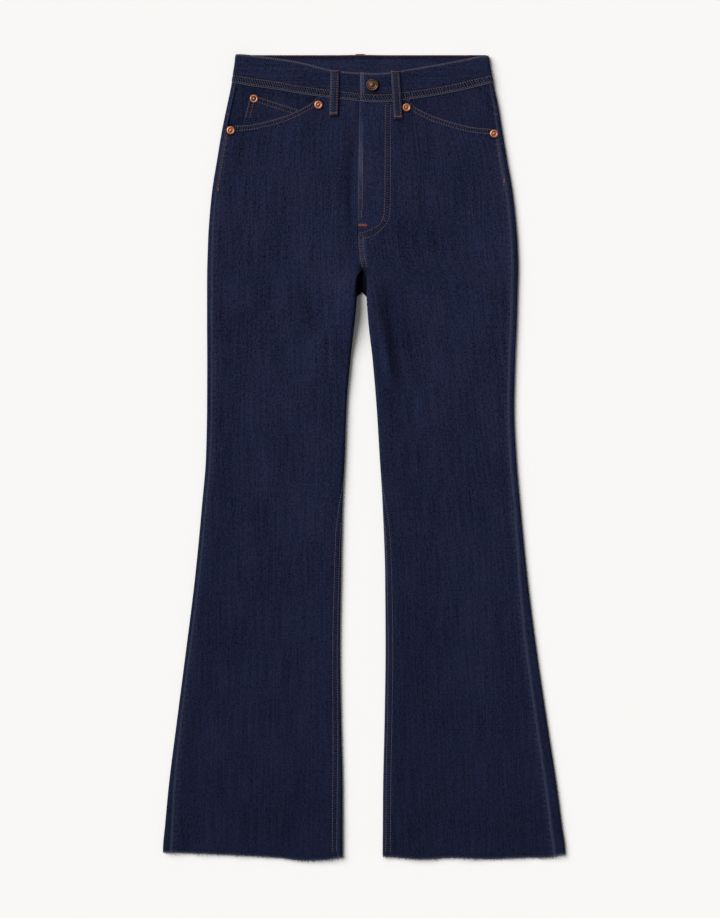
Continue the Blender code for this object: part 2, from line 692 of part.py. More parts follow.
def surface_normal(side, x, y, step=4):
    rise_x = front_surface(side, x + step, y) - front_surface(side, x - step, y)
    rise_y = front_surface(side, x, y + step) - front_surface(side, x, y - step)
    return Vector((-rise_x / 2 / step, -rise_y / 2 / step, 1))


def make_rivet(rivet, material):
    side = RIGHT if rivet.x < 0 else LEFT
    normal = surface_normal(side, rivet.x, rivet.y)
    z = front_surface(side, rivet.x, rivet.y) - rivet.depth
    return turned(rivet.name, RIVET, 12, stood_on((rivet.x, rivet.y, z), normal), material)


def make_button(material):
    z = band_front(LEFT, BUTTON_AT[0])[0].y
    return turned("waist_button", BUTTON, 20, stood_on((*BUTTON_AT, z), Vector((0, 0, 1))), material)


def clear_scene():
    for obj in list(bpy.data.objects):
        bpy.data.objects.remove(obj, do_unlink=True)


def main():
    clear_scene()
    indigo = finish_of("indigo_denim", (0.013, 0.016, 0.040))
    copper = finish_of("copper", (0.42, 0.17, 0.08), 0.35, 1.0)
    brass = finish_of("antique_brass", (0.16, 0.09, 0.05), 0.4, 1.0)
    for side, word in ((RIGHT, "right"), (LEFT, "left")):
        make_front(side, f"front_{word}", indigo)
        make_back(side, f"back_{word}", indigo)
        make_yoke(side, f"yoke_{word}", indigo)
        make_facing(side, f"pocket_facing_{word}", FACING_DEPTH[side], indigo)
    make_coin_pocket(indigo)
    make_fly_shield(indigo)
    make_waistband(indigo)
    for loop in FRONT_LOOPS:
        make_front_loop(loop, loop.name, indigo)
    make_back_loop(indigo)
    for rivet in RIVETS:
        make_rivet(rivet, copper)
    make_button(brass)


main()
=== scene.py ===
"""The looks of a pair of flared jeans laid flat, front side up: denim shells, sewing, metal and a stage.

The frame is +Y to the waist, +Z up and the surface at Z = 0. Right and left are the wearer's, so the
right leg is on the -X side. Tables and grids are in millimetres, with Y measured up from the hem.
"""

import functools
import math
from collections import namedtuple

import bmesh
import bpy
import numpy as np
from bpy.props import FloatProperty, FloatVectorProperty, PointerProperty
from mathutils import Matrix, Vector


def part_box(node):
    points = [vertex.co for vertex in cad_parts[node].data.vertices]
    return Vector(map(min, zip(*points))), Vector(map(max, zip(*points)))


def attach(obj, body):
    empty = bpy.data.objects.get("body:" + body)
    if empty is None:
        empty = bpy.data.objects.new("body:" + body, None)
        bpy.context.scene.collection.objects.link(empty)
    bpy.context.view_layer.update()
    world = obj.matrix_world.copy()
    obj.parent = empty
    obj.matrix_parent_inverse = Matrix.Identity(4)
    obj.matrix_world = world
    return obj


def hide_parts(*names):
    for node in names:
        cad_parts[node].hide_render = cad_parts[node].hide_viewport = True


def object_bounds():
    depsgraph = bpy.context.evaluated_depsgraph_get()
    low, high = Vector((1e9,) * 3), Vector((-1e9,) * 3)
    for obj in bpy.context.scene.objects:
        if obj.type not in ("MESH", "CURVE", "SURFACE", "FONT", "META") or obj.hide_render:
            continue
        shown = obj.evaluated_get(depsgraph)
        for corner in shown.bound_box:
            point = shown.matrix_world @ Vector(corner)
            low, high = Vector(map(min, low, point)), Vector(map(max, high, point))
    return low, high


bl_info = {
    "name": "Flared Jeans",
    "version": (1, 0, 0),
    "blender": (4, 5, 0),
    "location": "View3D > Sidebar > Jeans",
    "description": "Makes the cloth, the sewing and the metal of flared jeans laid flat, and their stage",
    "category": "Add Mesh",
}

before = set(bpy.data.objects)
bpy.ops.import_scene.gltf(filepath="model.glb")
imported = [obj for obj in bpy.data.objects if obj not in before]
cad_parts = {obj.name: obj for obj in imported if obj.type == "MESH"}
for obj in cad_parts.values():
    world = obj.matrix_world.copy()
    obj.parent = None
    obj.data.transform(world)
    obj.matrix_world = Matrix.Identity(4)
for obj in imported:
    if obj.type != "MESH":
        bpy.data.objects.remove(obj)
CAD_BOX = [list(corner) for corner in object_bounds()]
RIVETS = sorted(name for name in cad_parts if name.startswith("rivet_"))

MM = 0.001
RIGHT, LEFT = -1, 1
SIDES = ((RIGHT, "right"), (LEFT, "left"))
Y_MIDDLE = 541.2  # height of the frame's origin above the hem line

DENIM = 1.1  # wall of one layer
LIGHT_DENIM = 0.9  # pocket facings and coin pocket
BAND = 2.2
LOOP = 1.6
GAP = 0.3
CENTRE_GAP = 0.1  # across the centre back seam
OUT_TURN = 4  # half-width of an outer fold
OUT_FALL, IN_FALL = 45, 55  # how far in from a fold the top is still falling to the middle's height
FLAT_STEP = 20

Station = namedtuple(
    "Station", "y out_r in_r in_l out_l fold inner middle turn seam_r seam_l inseam_r inseam_l"
)
# A row for each section up the garment: the outline's four edges, the height of the outer and inner folds
# and of the middle, the inner fold's half-width, and how far in from its edge each seam lies on top.
STATIONS = [Station(*row) for row in (
    (0, -271.6, -29.0, 25.0, 271.6, 6.0, 6.2, 4.2, 3.0, 12.5, 15.5, 6.3, 2.7),
    (40, -268.6, -29.0, 25.3, 267.0, 5.8, 6.0, 3.8, 3.0, 11.0, 15.5, 6.0, 2.6),
    (88, -264.6, -29.0, 25.6, 261.2, 5.4, 5.6, 3.2, 3.0, 9.0, 15.5, 5.5, 2.5),
    (186, -252.5, -31.0, 27.7, 246.4, 5.2, 5.2, 2.8, 3.0, 6.2, 14.5, 3.0, 2.2),
    (283, -240.0, -32.4, 29.0, 232.2, 5.4, 5.5, 2.8, 3.2, 5.8, 14.0, 2.0, 2.0),
    (380, -228.0, -31.0, 28.4, 220.0, 5.6, 5.9, 2.9, 3.5, 5.8, 10.8, 1.3, 1.3),
    (477, -218.7, -29.0, 25.0, 210.6, 5.8, 6.3, 2.9, 3.8, 6.0, 8.2, 0.5, 0.5),
    (542, -213.4, -25.9, 21.0, 205.2, 6.0, 6.7, 3.0, 4.0, 6.5, 8.2, 0.1, 0.1),
    (607, -212.0, -23.6, 17.0, 202.6, 6.0, 6.8, 3.1, 4.3, 7.0, 8.4, 0.0, 0.0),
    (672, -211.8, -18.2, 11.5, 204.0, 6.2, 8.4, 3.4, 4.6, 7.3, 8.4, 0.0, 0.0),
    (720, -212.0, -12.8, 6.0, 206.0, 6.3, 15.0, 3.9, 5.0, 7.3, 8.4, 0.0, 0.0),
    (745, -212.0, -10.2, 4.0, 206.7, 6.3, 17.2, 4.3, 5.0, 7.3, 8.4, 0.0, 0.0),
    (755, -212.0, -9.6, 3.4, 207.0, 6.3, 17.0, 4.5, 5.0, 7.3, 8.4, 0.0, 0.0),
    (764, -212.0, -9.2, 3.1, 207.2, 6.3, 16.2, 4.6, 4.5, 7.3, 8.4, 0.3, 0.3),
    (776, -212.0, -8.7, 2.7, 207.6, 6.3, 14.0, 4.9, 3.6, 7.2, 8.4, 0.6, 0.6),
    (785, -211.9, -7.5, 1.8, 207.8, 6.3, 11.0, 5.0, 2.6, 7.2, 8.4, 0.4, 0.4),
    (793, -211.8, -2.7, -2.7, 208.0, 6.3, 8.0, 5.2, 0.1, 7.2, 8.4, 0.1, 0.1),
    (815, -211.2, -7.35, -7.35, 207.6, 6.3, 5.8, 5.2, 0.1, 7.0, 8.4, 0.1, 0.1),
    (840, -210.3, -8.85, -8.85, 206.3, 6.3, 5.2, 5.2, 0.1, 6.6, 8.4, 0.1, 0.1),
    (872, -208.0, -8.75, -8.75, 203.5, 6.3, 5.2, 5.2, 0.1, 6.0, 8.4, 0.1, 0.1),
    (901, -205.0, -8.25, -8.25, 200.0, 6.3, 5.2, 5.2, 0.1, 6.0, 8.4, 0.1, 0.1),
    (941.6, -198.5, -7.65, -7.65, 193.0, 6.3, 5.4, 5.4, 0.1, 6.0, 8.2, 0.1, 0.1),
    (982, -191.7, -7.05, -7.05, 186.3, 6.5, 5.7, 5.7, 0.1, 6.0, 7.8, 0.1, 0.1),
    (1014.5, -185.0, -6.45, -6.45, 181.0, 6.8, 6.0, 6.0, 0.1, 6.0, 7.0, 0.1, 0.1),
    (1044.8, -178.8, -6.05, -6.05, 174.6, 7.0, 6.0, 6.0, 0.1, 6.0, 6.4, 0.1, 0.1),
    (1084, -173.5, -6.05, -6.05, 168.0, 7.0, 6.0, 6.0, 0.1, 6.0, 6.4, 0.1, 0.1),
)]
CROTCH_Y = 793  # where the front's centre seam meets the inseams
FORK_Y = 756  # the back's fork comes through between the legs from here up to the crotch
BACK_CENTRE = -2.7
VALLEY = 3.0  # height of the fork's upright part at the centre
FORK_UPRIGHT = 0.2  # share of the fork's columns in it
BODY_Y = 941.6  # above this, the rows of a panel follow its own top edge


def smooth(t):
    """A soft step from 0 to 1."""
    t = np.clip(t, 0, 1)
    return t * t * (3 - 2 * t)


def bell(t):
    return np.exp(-t * t)


class Line:
    """A monotone cubic through (place, value) points, read at any array of places."""

    STEP = 0.5

    def __init__(self, points):
        places, values = (np.array(column, float) for column in zip(*points))
        rise = np.diff(values) / np.diff(places)
        slopes = np.zeros(len(values))
        both = rise[:-1] * rise[1:]
        inner = np.where(both > 0, 2 * both / np.where(both > 0, rise[:-1] + rise[1:], 1), 0)
        slopes[1:-1] = inner
        self.places = np.arange(places[0], places[-1] + self.STEP, self.STEP).clip(max=places[-1])
        k = np.clip(np.searchsorted(places, self.places, "right") - 1, 0, len(places) - 2)
        span = places[k + 1] - places[k]
        t = (self.places - places[k]) / span
        self.values = (
            values[k] * (2 * t**3 - 3 * t**2 + 1)
            + slopes[k] * span * (t**3 - 2 * t**2 + t)
            + values[k + 1] * (3 * t**2 - 2 * t**3)
            + slopes[k + 1] * span * (t**3 - t**2)
        )

    def __call__(self, x):
        return np.interp(x, self.places, self.values)


COLUMNS_UP = [Line([(row.y, row[k]) for row in STATIONS]) for k in range(1, len(Station._fields))]
HEM = Line((
    (-272, 7.8), (-190, 5), (-159, 3.4), (-117, 0.7), (-81, -3.1), (-54, -2), (-29, 1.5), (25, 2.3),
    (77, -1.2), (120, 0.7), (171, -1.2), (212, 0.7), (243, 1), (272, 5),
))
HEM_FADE = 90
BAND_LOW = Line((
    (-179, 1045), (-154, 1041), (-127, 1037.5), (-86, 1030.7), (-49, 1025.3), (-19, 1022), (15, 1018.6),
    (35, 1019.3), (55, 1022), (76, 1025), (103, 1029.4), (130, 1034.8), (157, 1041), (175, 1044.6),
))
BAND_TOP = Line((
    (-174, 1083.6), (-147, 1081.4), (-123, 1078.7), (-100, 1075.6), (-73, 1070), (-49, 1063.6),
    (-26, 1060.4), (-4, 1059), (15, 1058), (35, 1059.3), (62, 1063.8), (89, 1068.4), (116, 1073),
    (143, 1077.6), (168, 1081.4),
))
BAND_LOW_BACK, BAND_TOP_BACK = 1044.8, 1083.4
BAND_END, UNDERLAP_END = -5.4, 26
BAND_HEIGHT, BAND_FOLD = 7.1, 8.3
OVERLAP_LIFT, UNDERLAP_DROP = 2.0, 0.5
MOUTHS = {
    RIGHT: Line((
        (-192, 987), (-161, 988.2), (-146, 990.2), (-127, 994.5), (-113, 998.3), (-100, 1003),
        (-80, 1012.5), (-67.5, 1020), (-62, 1027),
    )),
    LEFT: Line((
        (62, 1022.6), (66, 1014.6), (77, 1008), (91, 1001.5), (105, 996.6), (123, 991), (143, 986.2),
        (157, 984.3), (186, 983),
    )),
}
POCKET_INNER = 62  # how far from the centre the mouths reach the waistband
YOKE_CENTRE, YOKE_SIDE = 974, 1008
FLY_LOW, FLY_ROUND, FLY_WIDTH = 874, 22, 38
FLY_TUCK, FLY_TUCK_LOW = 3, 858  # how far the right front's edge runs in under the fly, from this height up
FLY_LIFT, FLY_LIFT_LOW = 1.5, 836
FACING_END, FACING_TUCK = 50, 14
FACING_MIDDLE, FACING_INNER = 120.0, 66.0  # places along a mouth that its facing's lower edge is taken from
FACING_DEPTH = {RIGHT: DENIM + LIGHT_DENIM + 2 * GAP, LEFT: DENIM + GAP}
COIN_CORNER, COIN_END, COIN_LOW_X, COIN_TUCK = (-153.5, 1030), (-83, 1007.6), -165, 7

Loop = namedtuple("Loop", "name top_x top_y low_x low_y")
FRONT_LOOPS = (
    Loop("belt_loop_front_right", -39.4, 1062.6, -41.2, 1001),
    Loop("belt_loop_front_left", 41.6, 1061.2, 46.3, 996),
)
BACK_LOOP_X, BACK_LOOP_LIFT = -5, 1.9
BACK_LOOP_LOW, BACK_LOOP_TOP = 1022, 1085
LOOP_WIDTH = 11.5
LOOP_CLEARANCE = 0.9  # between a front belt loop's ends and what it lies on
LOOP_RISE = Line((
    (0, 0), (0.1, 0.1), (0.25, 1.2), (0.38, 1.6), (0.55, 1.3), (0.75, 1.0), (0.92, 0.2), (1, 0),
))

Crease = namedtuple("Crease", "x0 y0 x1 y1 half_width height bow")
# Soft folds of the fronts: a ridge or, below zero, a trough along a line bowed sideways.
FRONT_CREASES = [Crease(*row) for row in (
    (14, 780, 46, 600, 9, 1.9, 2),
    (24, 812, 68, 575, 10, -1.7, 3),
    (-15, 1008, -15, 800, 8, -2.0, 0),
    (-32, 1000, -30, 860, 13, 1.1, 1),
    (-172, 862, -80, 830, 12, 0.6, 4),
    (-170, 835, -70, 806, 12, 0.5, 4),
    (-186, 905, -120, 872, 12, 0.4, 3),
    (182, 880, 96, 846, 13, 0.5, -4),
    (-128, 590, -106, 470, 22, 1.1, 6),
    (-96, 520, -70, 400, 20, 0.7, -5),
    (96, 560, 118, 430, 22, 0.8, -5),
    (60, 480, 84, 330, 18, 0.6, 4),
    (-60, 700, -92, 560, 18, 0.6, -4),
    (150, 700, 140, 560, 20, 0.6, 4),
    (-210, 300, -180, 120, 22, 0.7, 5),
    (-120, 260, -110, 60, 26, 0.8, -4),
    (110, 300, 130, 80, 26, 0.8, 4),
    (200, 260, 214, 70, 22, 0.6, -3),
    (-15, 800, -44, 700, 10, 0.9, -3),
)]
# The same kind of folds on the underside, pressed flat by the surface, so each is only a shallow hollow.
BACK_CREASES = [Crease(*row) for row in (
    (-30, 780, -150, 742, 14, -0.8, 5),
    (30, 782, 150, 744, 14, -0.8, -5),
    (-60, 740, -170, 716, 12, -0.6, 4),
    (60, 742, 168, 718, 12, -0.6, -4),
    (-110, 520, -190, 500, 14, -0.6, 3),
    (110, 524, 186, 506, 14, -0.6, -3),
    (-120, 300, -140, 120, 20, -0.5, 4),
    (120, 300, 146, 120, 20, -0.5, -4),
)]


def read(y):
    """The station table at an array of heights."""
    return Station(y, *(column(y) for column in COLUMNS_UP))


def outer_edge(row, side):
    """Where the outer fold ends, on the side or the sides asked for."""
    return np.where(side == RIGHT, row.out_r, row.out_l)


def settled(y):
    """The share of the hem line's own shift that points at a height take."""
    return 1 - smooth(y / HEM_FADE)


def creases(table, x, y):
    """Height of the table's folds: full along each line's middle, fading to its ends and sides."""
    total = np.zeros_like(x)
    for fold in table:
        run_x, run_y = fold.x1 - fold.x0, fold.y1 - fold.y0
        length = math.hypot(run_x, run_y)
        t = ((x - fold.x0) * run_x + (y - fold.y0) * run_y) / length**2
        across = ((x - fold.x0) * run_y - (y - fold.y0) * run_x) / length
        across = across - 4 * fold.bow * t * (1 - t)
        ends = smooth(2.6 * t) * smooth(2.6 * (1 - t))
        total += fold.height * ends * (1 - smooth(np.abs(across) / (1.6 * fold.half_width)))
    return total


def waves(x, y, size, seed):
    """Soft unevenness with hollows about size across, from -1 to 1."""
    rng = np.random.default_rng(seed)
    total = np.zeros_like(x)
    bend = size * 0.3 * np.sin(y / size * 1.7 + seed)
    for _ in range(7):
        heading, phase = rng.uniform(0, math.tau, 2)
        pitch = size * rng.uniform(1.2, 2.6)
        along = (x + bend) * math.cos(heading) + y * math.sin(heading)
        total += np.sin(along * math.tau / pitch + phase)
    return total / 4


def underside(x, y):
    """Height of the back's outer face: flat, but for the belt loop that it lies on."""
    return BACK_LOOP_LIFT * (1 - smooth((np.abs(x - BACK_LOOP_X) - 8) / 22)) * smooth((y - 1000) / 12)


def unit(nx, nz):
    length = np.hypot(nx, nz)
    return nx / length, nz / length


def face_normal(height, x, up=1):
    """The normal of a face whose height(x) is known across a section: it looks up, or down with up -1."""
    return unit(up * (height(x - 0.5) - height(x + 0.5)), up + 0 * x)


def fold_arc(edge, away, turn, height, w):
    """Points round a fold at its coordinates w, with their normals: x, z, nx, nz."""
    across, up = np.cos(w * math.pi / 2), np.sin(w * math.pi / 2)
    return (
        edge - away * turn * (1 - across),
        height / 2 * (1 + up),
        *unit(away * across / turn, 2 * up / height),
    )


class Section:
    """One leg or hip of the garment cut across at an array of heights.

    An edge coordinate w runs round a fold: 0 is its outermost point, 1 its crest and -1 where it meets the
    underside. Past those it goes on over the top or the underside, by FLAT_STEP for each unit.
    """

    def __init__(self, side, y):
        row = read(y)
        self.side, self.y, self.row = side, y, row
        self.x_out = outer_edge(row, side)
        self.x_in = row.in_r if side == RIGHT else row.in_l
        self.outseam = self.coordinate(row.seam_r if side == RIGHT else row.seam_l, OUT_TURN)
        self.inseam = self.coordinate(row.inseam_r if side == RIGHT else row.inseam_l, row.turn)

    @staticmethod
    def coordinate(inset, turn):
        flat = 1 + (inset - turn) / FLAT_STEP
        curved = 2 / math.pi * np.arccos(np.clip(1 - inset / turn, -1, 1))
        return np.where(inset >= turn, flat, curved)

    def lift(self, x):
        """The left front stands over the fly's underlap."""
        if self.side == RIGHT:
            return 0 * x
        above = smooth((self.y - FLY_LIFT_LOW) / 18)
        return FLY_LIFT * above * (1 - smooth((x - FLY_WIDTH + 4) / 25))

    def top(self, x):
        row = self.row
        from_out = np.abs(x - self.x_out) - OUT_TURN
        from_in = np.abs(x - self.x_in) - row.turn
        return (
            row.middle
            + (row.fold - row.middle) * (1 - smooth(from_out / OUT_FALL))
            + (row.inner - row.middle) * (1 - smooth(from_in / IN_FALL))
            + self.lift(x)
        )

    def on_top(self, x, depth=0.0):
        """Points of the top at x, moved in by depth, and their normals: x, z, nx, nz."""
        nx, nz = face_normal(self.top, x)
        return x - nx * depth, self.top(x) - nz * depth, nx, nz

    def under(self, x):
        return x, underside(x, self.y), *face_normal(lambda at: underside(at, self.y), x, -1)

    def at(self, outer, w):
        """Points at the edge coordinates w of the outer or the inner fold: x, z, nx, nz."""
        edge = self.x_out if outer else self.x_in
        turn = OUT_TURN + 0 * w if outer else self.row.turn
        away = self.side if outer else -self.side
        height = self.row.fold if outer else self.row.inner + self.lift(edge)
        over = self.on_top(edge - away * (turn + (w - 1) * FLAT_STEP))
        below = self.under(edge - away * (turn + (-w - 1) * FLAT_STEP))
        curved = fold_arc(edge, away, turn, height, np.clip(w, -1, 1))
        return tuple(np.where(w > 1, a, np.where(w < -1, b, c)) for a, b, c in zip(over, below, curved))

    def seam(self, outer, way):
        """The edge coordinate of a seam's line on one side of its gap: 1 towards the front, -1 the back."""
        w = self.outseam if outer else self.inseam
        turn = OUT_TURN if outer else np.maximum(self.row.turn, 1)
        step = np.where(w >= 1, FLAT_STEP, 1.3 * turn)
        return w + way * GAP / 2 / step


def band_low(x, w=1):
    """The band's lower edge, on the front or at the coordinate w of a side fold."""
    back_share = (1 - w) / 2
    return BAND_LOW(x) * (1 - back_share) + BAND_LOW_BACK * back_share


def waist_seam(x, w=1):
    return band_low(x, w) - 2 * GAP


def front_top(side, x):
    """The upper edge of a front: the waist seam, and the pocket mouth from its corner out to the side."""
    beyond = np.abs(x) > POCKET_INNER
    return np.where(beyond, np.minimum(waist_seam(x), MOUTHS[side](x)), waist_seam(x))


def yoke_seam(side, x, on_fold):
    """The yoke's lower seam: straight from the centre back to the outer fold, and level round it."""
    fold = np.abs(Section(side, np.array(float(YOKE_SIDE))).at(True, np.array(-1.0))[0] - BACK_CENTRE)
    share = np.where(on_fold, 1, np.abs(x - BACK_CENTRE) / fold)
    return YOKE_CENTRE + (YOKE_SIDE - YOKE_CENTRE) * share


def settle(place, low, share, top):
    """The heights at which columns meet their share of the way from low up to the edge line top(x)."""
    y = low + 0 * share
    for _ in range(8):
        x = place(y)[0]
        y = low + share * (top(x) - low)
    return y


Grid = namedtuple("Grid", "x y z nx nz")
Grid.__doc__ = "Rows of points up a panel and columns across it, with normals in the section."


def run_along(points):
    """Distance along a line of points from its first."""
    steps = np.linalg.norm(np.diff(points, axis=0), axis=1)
    return np.concatenate([[0], np.cumsum(steps)])


def points_of(grid):
    return np.stack([grid.x, grid.y, grid.z], -1)


def normals_of(grid):
    return np.stack([grid.nx, 0 * grid.nx, grid.nz], -1)


def part_of(grid, rows=slice(None), columns=slice(None)):
    return Grid(*(part[rows, columns] for part in grid))


def turned_grid(grid, across=False, up=False):
    """The grid with its columns or its rows in the opposite order."""
    return part_of(grid, slice(None, None, -1 if up else 1), slice(None, None, -1 if across else 1))


def reach(grid, axis=1):
    """Distance along the cloth of each point from the first column, or from the first row with axis 0."""
    steps = np.linalg.norm(np.diff(points_of(grid), axis=axis), axis=-1)
    start = np.zeros_like(steps[:, :1] if axis else steps[:1])
    return np.concatenate([start, np.cumsum(steps, axis=axis)], axis=axis)


def reach_back(grid, axis=1):
    """The same from the last column, or from the last row with axis 0."""
    return np.flip(reach(turned_grid(grid, across=axis == 1, up=axis == 0), axis), axis)


def raised(grid, amount):
    """The grid moved out along its normals."""
    return grid._replace(x=grid.x + grid.nx * amount, z=grid.z + grid.nz * amount)


def laid(y, point):
    """A grid from the sections at y, with the hem's own line put in."""
    x, z, nx, nz = (part + 0 * y for part in point)
    return Grid(x, y + HEM(x) * settled(y), z, nx, nz)


FRONT_OUTER = np.linspace(0, 1, 9)
FRONT_MIDDLE = np.concatenate([np.linspace(0, 0.84, 38)[1:], np.linspace(0.84, 1, 19)[1:-1]])
FRONT_INNER = np.linspace(1, 0, 21)
LEG_ROWS, HIP_ROWS = 370, 46
BACK_OUTER = np.linspace(0, 1, 14)
BACK_INNER = np.linspace(1, 0, 11)
BACK_MIDDLE = np.linspace(0, 1, 27)
SEAT_START = len(BACK_INNER) - 1  # the back's column at the centre seam


def front_base(side, y, kinds, shares):
    """Points and normals of a front at heights y: kinds 0, 1, 2 are its outer, middle and inner zones."""
    section = Section(side, y)
    start, end = section.seam(True, 1), section.seam(False, 1)
    zone = np.maximum(1.6, start + 0.2)
    outer = section.at(True, start + (zone - start) * shares)
    inner = section.at(False, end + (2 - end) * shares)
    if side == RIGHT:
        tuck = (GAP + FLY_TUCK) * smooth((y - FLY_TUCK_LOW) / 14) * (1 - shares)
        inner = (inner[0] + tuck, *inner[1:])
    x_start, x_end = section.at(True, zone)[0], section.at(False, 2 + 0 * end)[0]
    middle = section.on_top(x_start + (x_end - x_start) * shares)
    return tuple(np.choose(kinds, parts) for parts in zip(outer, middle, inner))


@functools.cache
def front_grid(side):
    """A front before its creases: columns from the outseam to the inseam, rows up from the hem."""
    kinds = np.repeat([0, 1, 2], [len(FRONT_OUTER), len(FRONT_MIDDLE), len(FRONT_INNER)])
    shares = np.concatenate([FRONT_OUTER, FRONT_MIDDLE, FRONT_INNER])
    leg = np.linspace(0, BODY_Y, LEG_ROWS)[:, None] + 0 * shares
    hip = np.linspace(0, 1, HIP_ROWS)[1:, None] + 0 * shares

    def place(y):
        return front_base(side, y, kinds + 0 * y.astype(int), shares + 0 * y)

    y = np.concatenate([leg, settle(place, BODY_Y, hip, lambda x: front_top(side, x))])
    return laid(y, place(y))


def fork_part(section, k):
    """Between the legs: k goes from 0 at the underside's corner at the centre to 1 out at the inseam."""
    side, y = section.side, section.y
    x = BACK_CENTRE + side * CENTRE_GAP / 2
    seam = section.at(False, section.seam(False, -1))
    seam_x = np.where(y < CROTCH_Y, seam[0], x)
    seam_z = np.where(y < CROTCH_Y, seam[1], section.row.inner - DENIM - GAP)
    upright = k < FORK_UPRIGHT
    run = np.clip((k - FORK_UPRIGHT) / (1 - FORK_UPRIGHT), 0, 1)
    px = x + (seam_x - x) * run
    pz = np.where(upright, VALLEY * k / FORK_UPRIGHT, VALLEY + (seam_z - VALLEY) * run)
    slope_x, slope_z = seam_x - x, seam_z - VALLEY
    flat_x, flat_z = unit(-slope_z, np.maximum(slope_x * side, 0.01))
    nx = np.where((k == 0) & (y > CROTCH_Y), 0, np.where(upright, -side, flat_x * side))
    nz = np.where(k == 0, -1, np.where(upright, 0, flat_z))
    return px, pz, nx, nz


@functools.cache
def back_grid(side):
    """A back: columns from the inseam under the leg and up round the outer fold, rows up from the hem."""
    kinds = np.repeat([0, 1, 2], [len(BACK_INNER), len(BACK_MIDDLE) - 2, len(BACK_OUTER)])
    shares = np.concatenate([BACK_INNER, BACK_MIDDLE[1:-1], BACK_OUTER])
    leg = np.linspace(0, BODY_Y, LEG_ROWS)[:, None] + 0 * shares
    hip = np.linspace(0, 1, HIP_ROWS // 2)[1:, None] + 0 * shares

    def place(y):
        section = Section(side, y)
        share = shares + 0 * y
        forked = smooth((y - FORK_Y + 2) / 10)
        inner = section.at(False, -1 + (section.seam(False, -1) + 1) * share)
        fork = fork_part(section, share)
        inner = tuple(a + (b - a) * forked for a, b in zip(inner, fork))
        x_leg = section.at(False, -1 + 0 * y)[0]
        x_in = x_leg + (BACK_CENTRE + side * CENTRE_GAP / 2 - x_leg) * forked
        x_out = section.at(True, -1 + 0 * y)[0]
        middle = section.under(x_in + (x_out - x_in) * share)
        outer = section.at(True, -1 + (section.seam(True, -1) + 1) * share)
        picked = kinds + 0 * y.astype(int)
        return tuple(np.choose(picked, parts) for parts in zip(inner, middle, outer))

    low_edge = settle(place, BODY_Y, hip, lambda x: yoke_seam(side, x, kinds == 2) - GAP)
    y = np.concatenate([leg, low_edge])
    return laid(y, place(y))


@functools.cache
def yoke_grid(side):
    """A yoke: from the centre back out and round the outer fold, between the yoke seam and the band."""
    middle = np.concatenate([np.linspace(0, 0.2, 12), np.linspace(0.2, 1, 18)[1:-1]])
    on_fold = np.repeat([False, True], [len(middle), len(BACK_OUTER)])
    shares = np.concatenate([middle, BACK_OUTER])
    up = np.linspace(0, 1, 30)[:, None] + 0 * shares

    def coordinate(section, share):
        return -1 + (section.seam(True, -1) + 1) * share

    def place(y):
        section = Section(side, y)
        share = shares + 0 * y
        x_in, x_out = BACK_CENTRE + side * CENTRE_GAP / 2, section.at(True, -1 + 0 * y)[0]
        flat = section.under(x_in + (x_out - x_in) * share)
        fold = section.at(True, coordinate(section, share))
        return tuple(np.where(on_fold, a, b) for a, b in zip(fold, flat))

    at_band = Section(side, BAND_LOW_BACK + 0 * shares)
    w = np.where(on_fold, np.minimum(1, coordinate(at_band, shares)), -1)
    low = settle(place, YOKE_CENTRE, 1 + 0 * up, lambda x: yoke_seam(side, x, on_fold))
    y = settle(place, low, up, lambda x: waist_seam(x, w))
    return laid(y, place(y))


def band_height(x, side):
    """Height of the waistband's outer face on the front. The left end lies over the right one."""
    right = BAND_HEIGHT - UNDERLAP_DROP * smooth((x + 30) / 22)
    left = BAND_HEIGHT + OVERLAP_LIFT * (1 - smooth((x - 30) / 40))
    return np.where(side == RIGHT, right, left)


def band_front(side, x):
    """Points of the band's front, rising to the fold's crest at the side: x, z, nx, nz."""
    edge = outer_edge(read(np.array(BAND_LOW_BACK)), side)

    def height(at):
        rise = 1 - smooth((np.abs(at - edge) - OUT_TURN) / OUT_FALL)
        return band_height(at, side) + (BAND_FOLD - BAND_HEIGHT) * rise

    return x, height(x), *face_normal(height, x)


BAND_STEP = 1.0
BAND_ROWS = 24
BAND_FRONT_REACH = {RIGHT: -174.8, LEFT: 170.6}  # where the band's front meets its folds
BAND_BACK_REACH = 145
UNDERLAP_TRIM = 1.2  # how much narrower each edge of the band's hidden end is


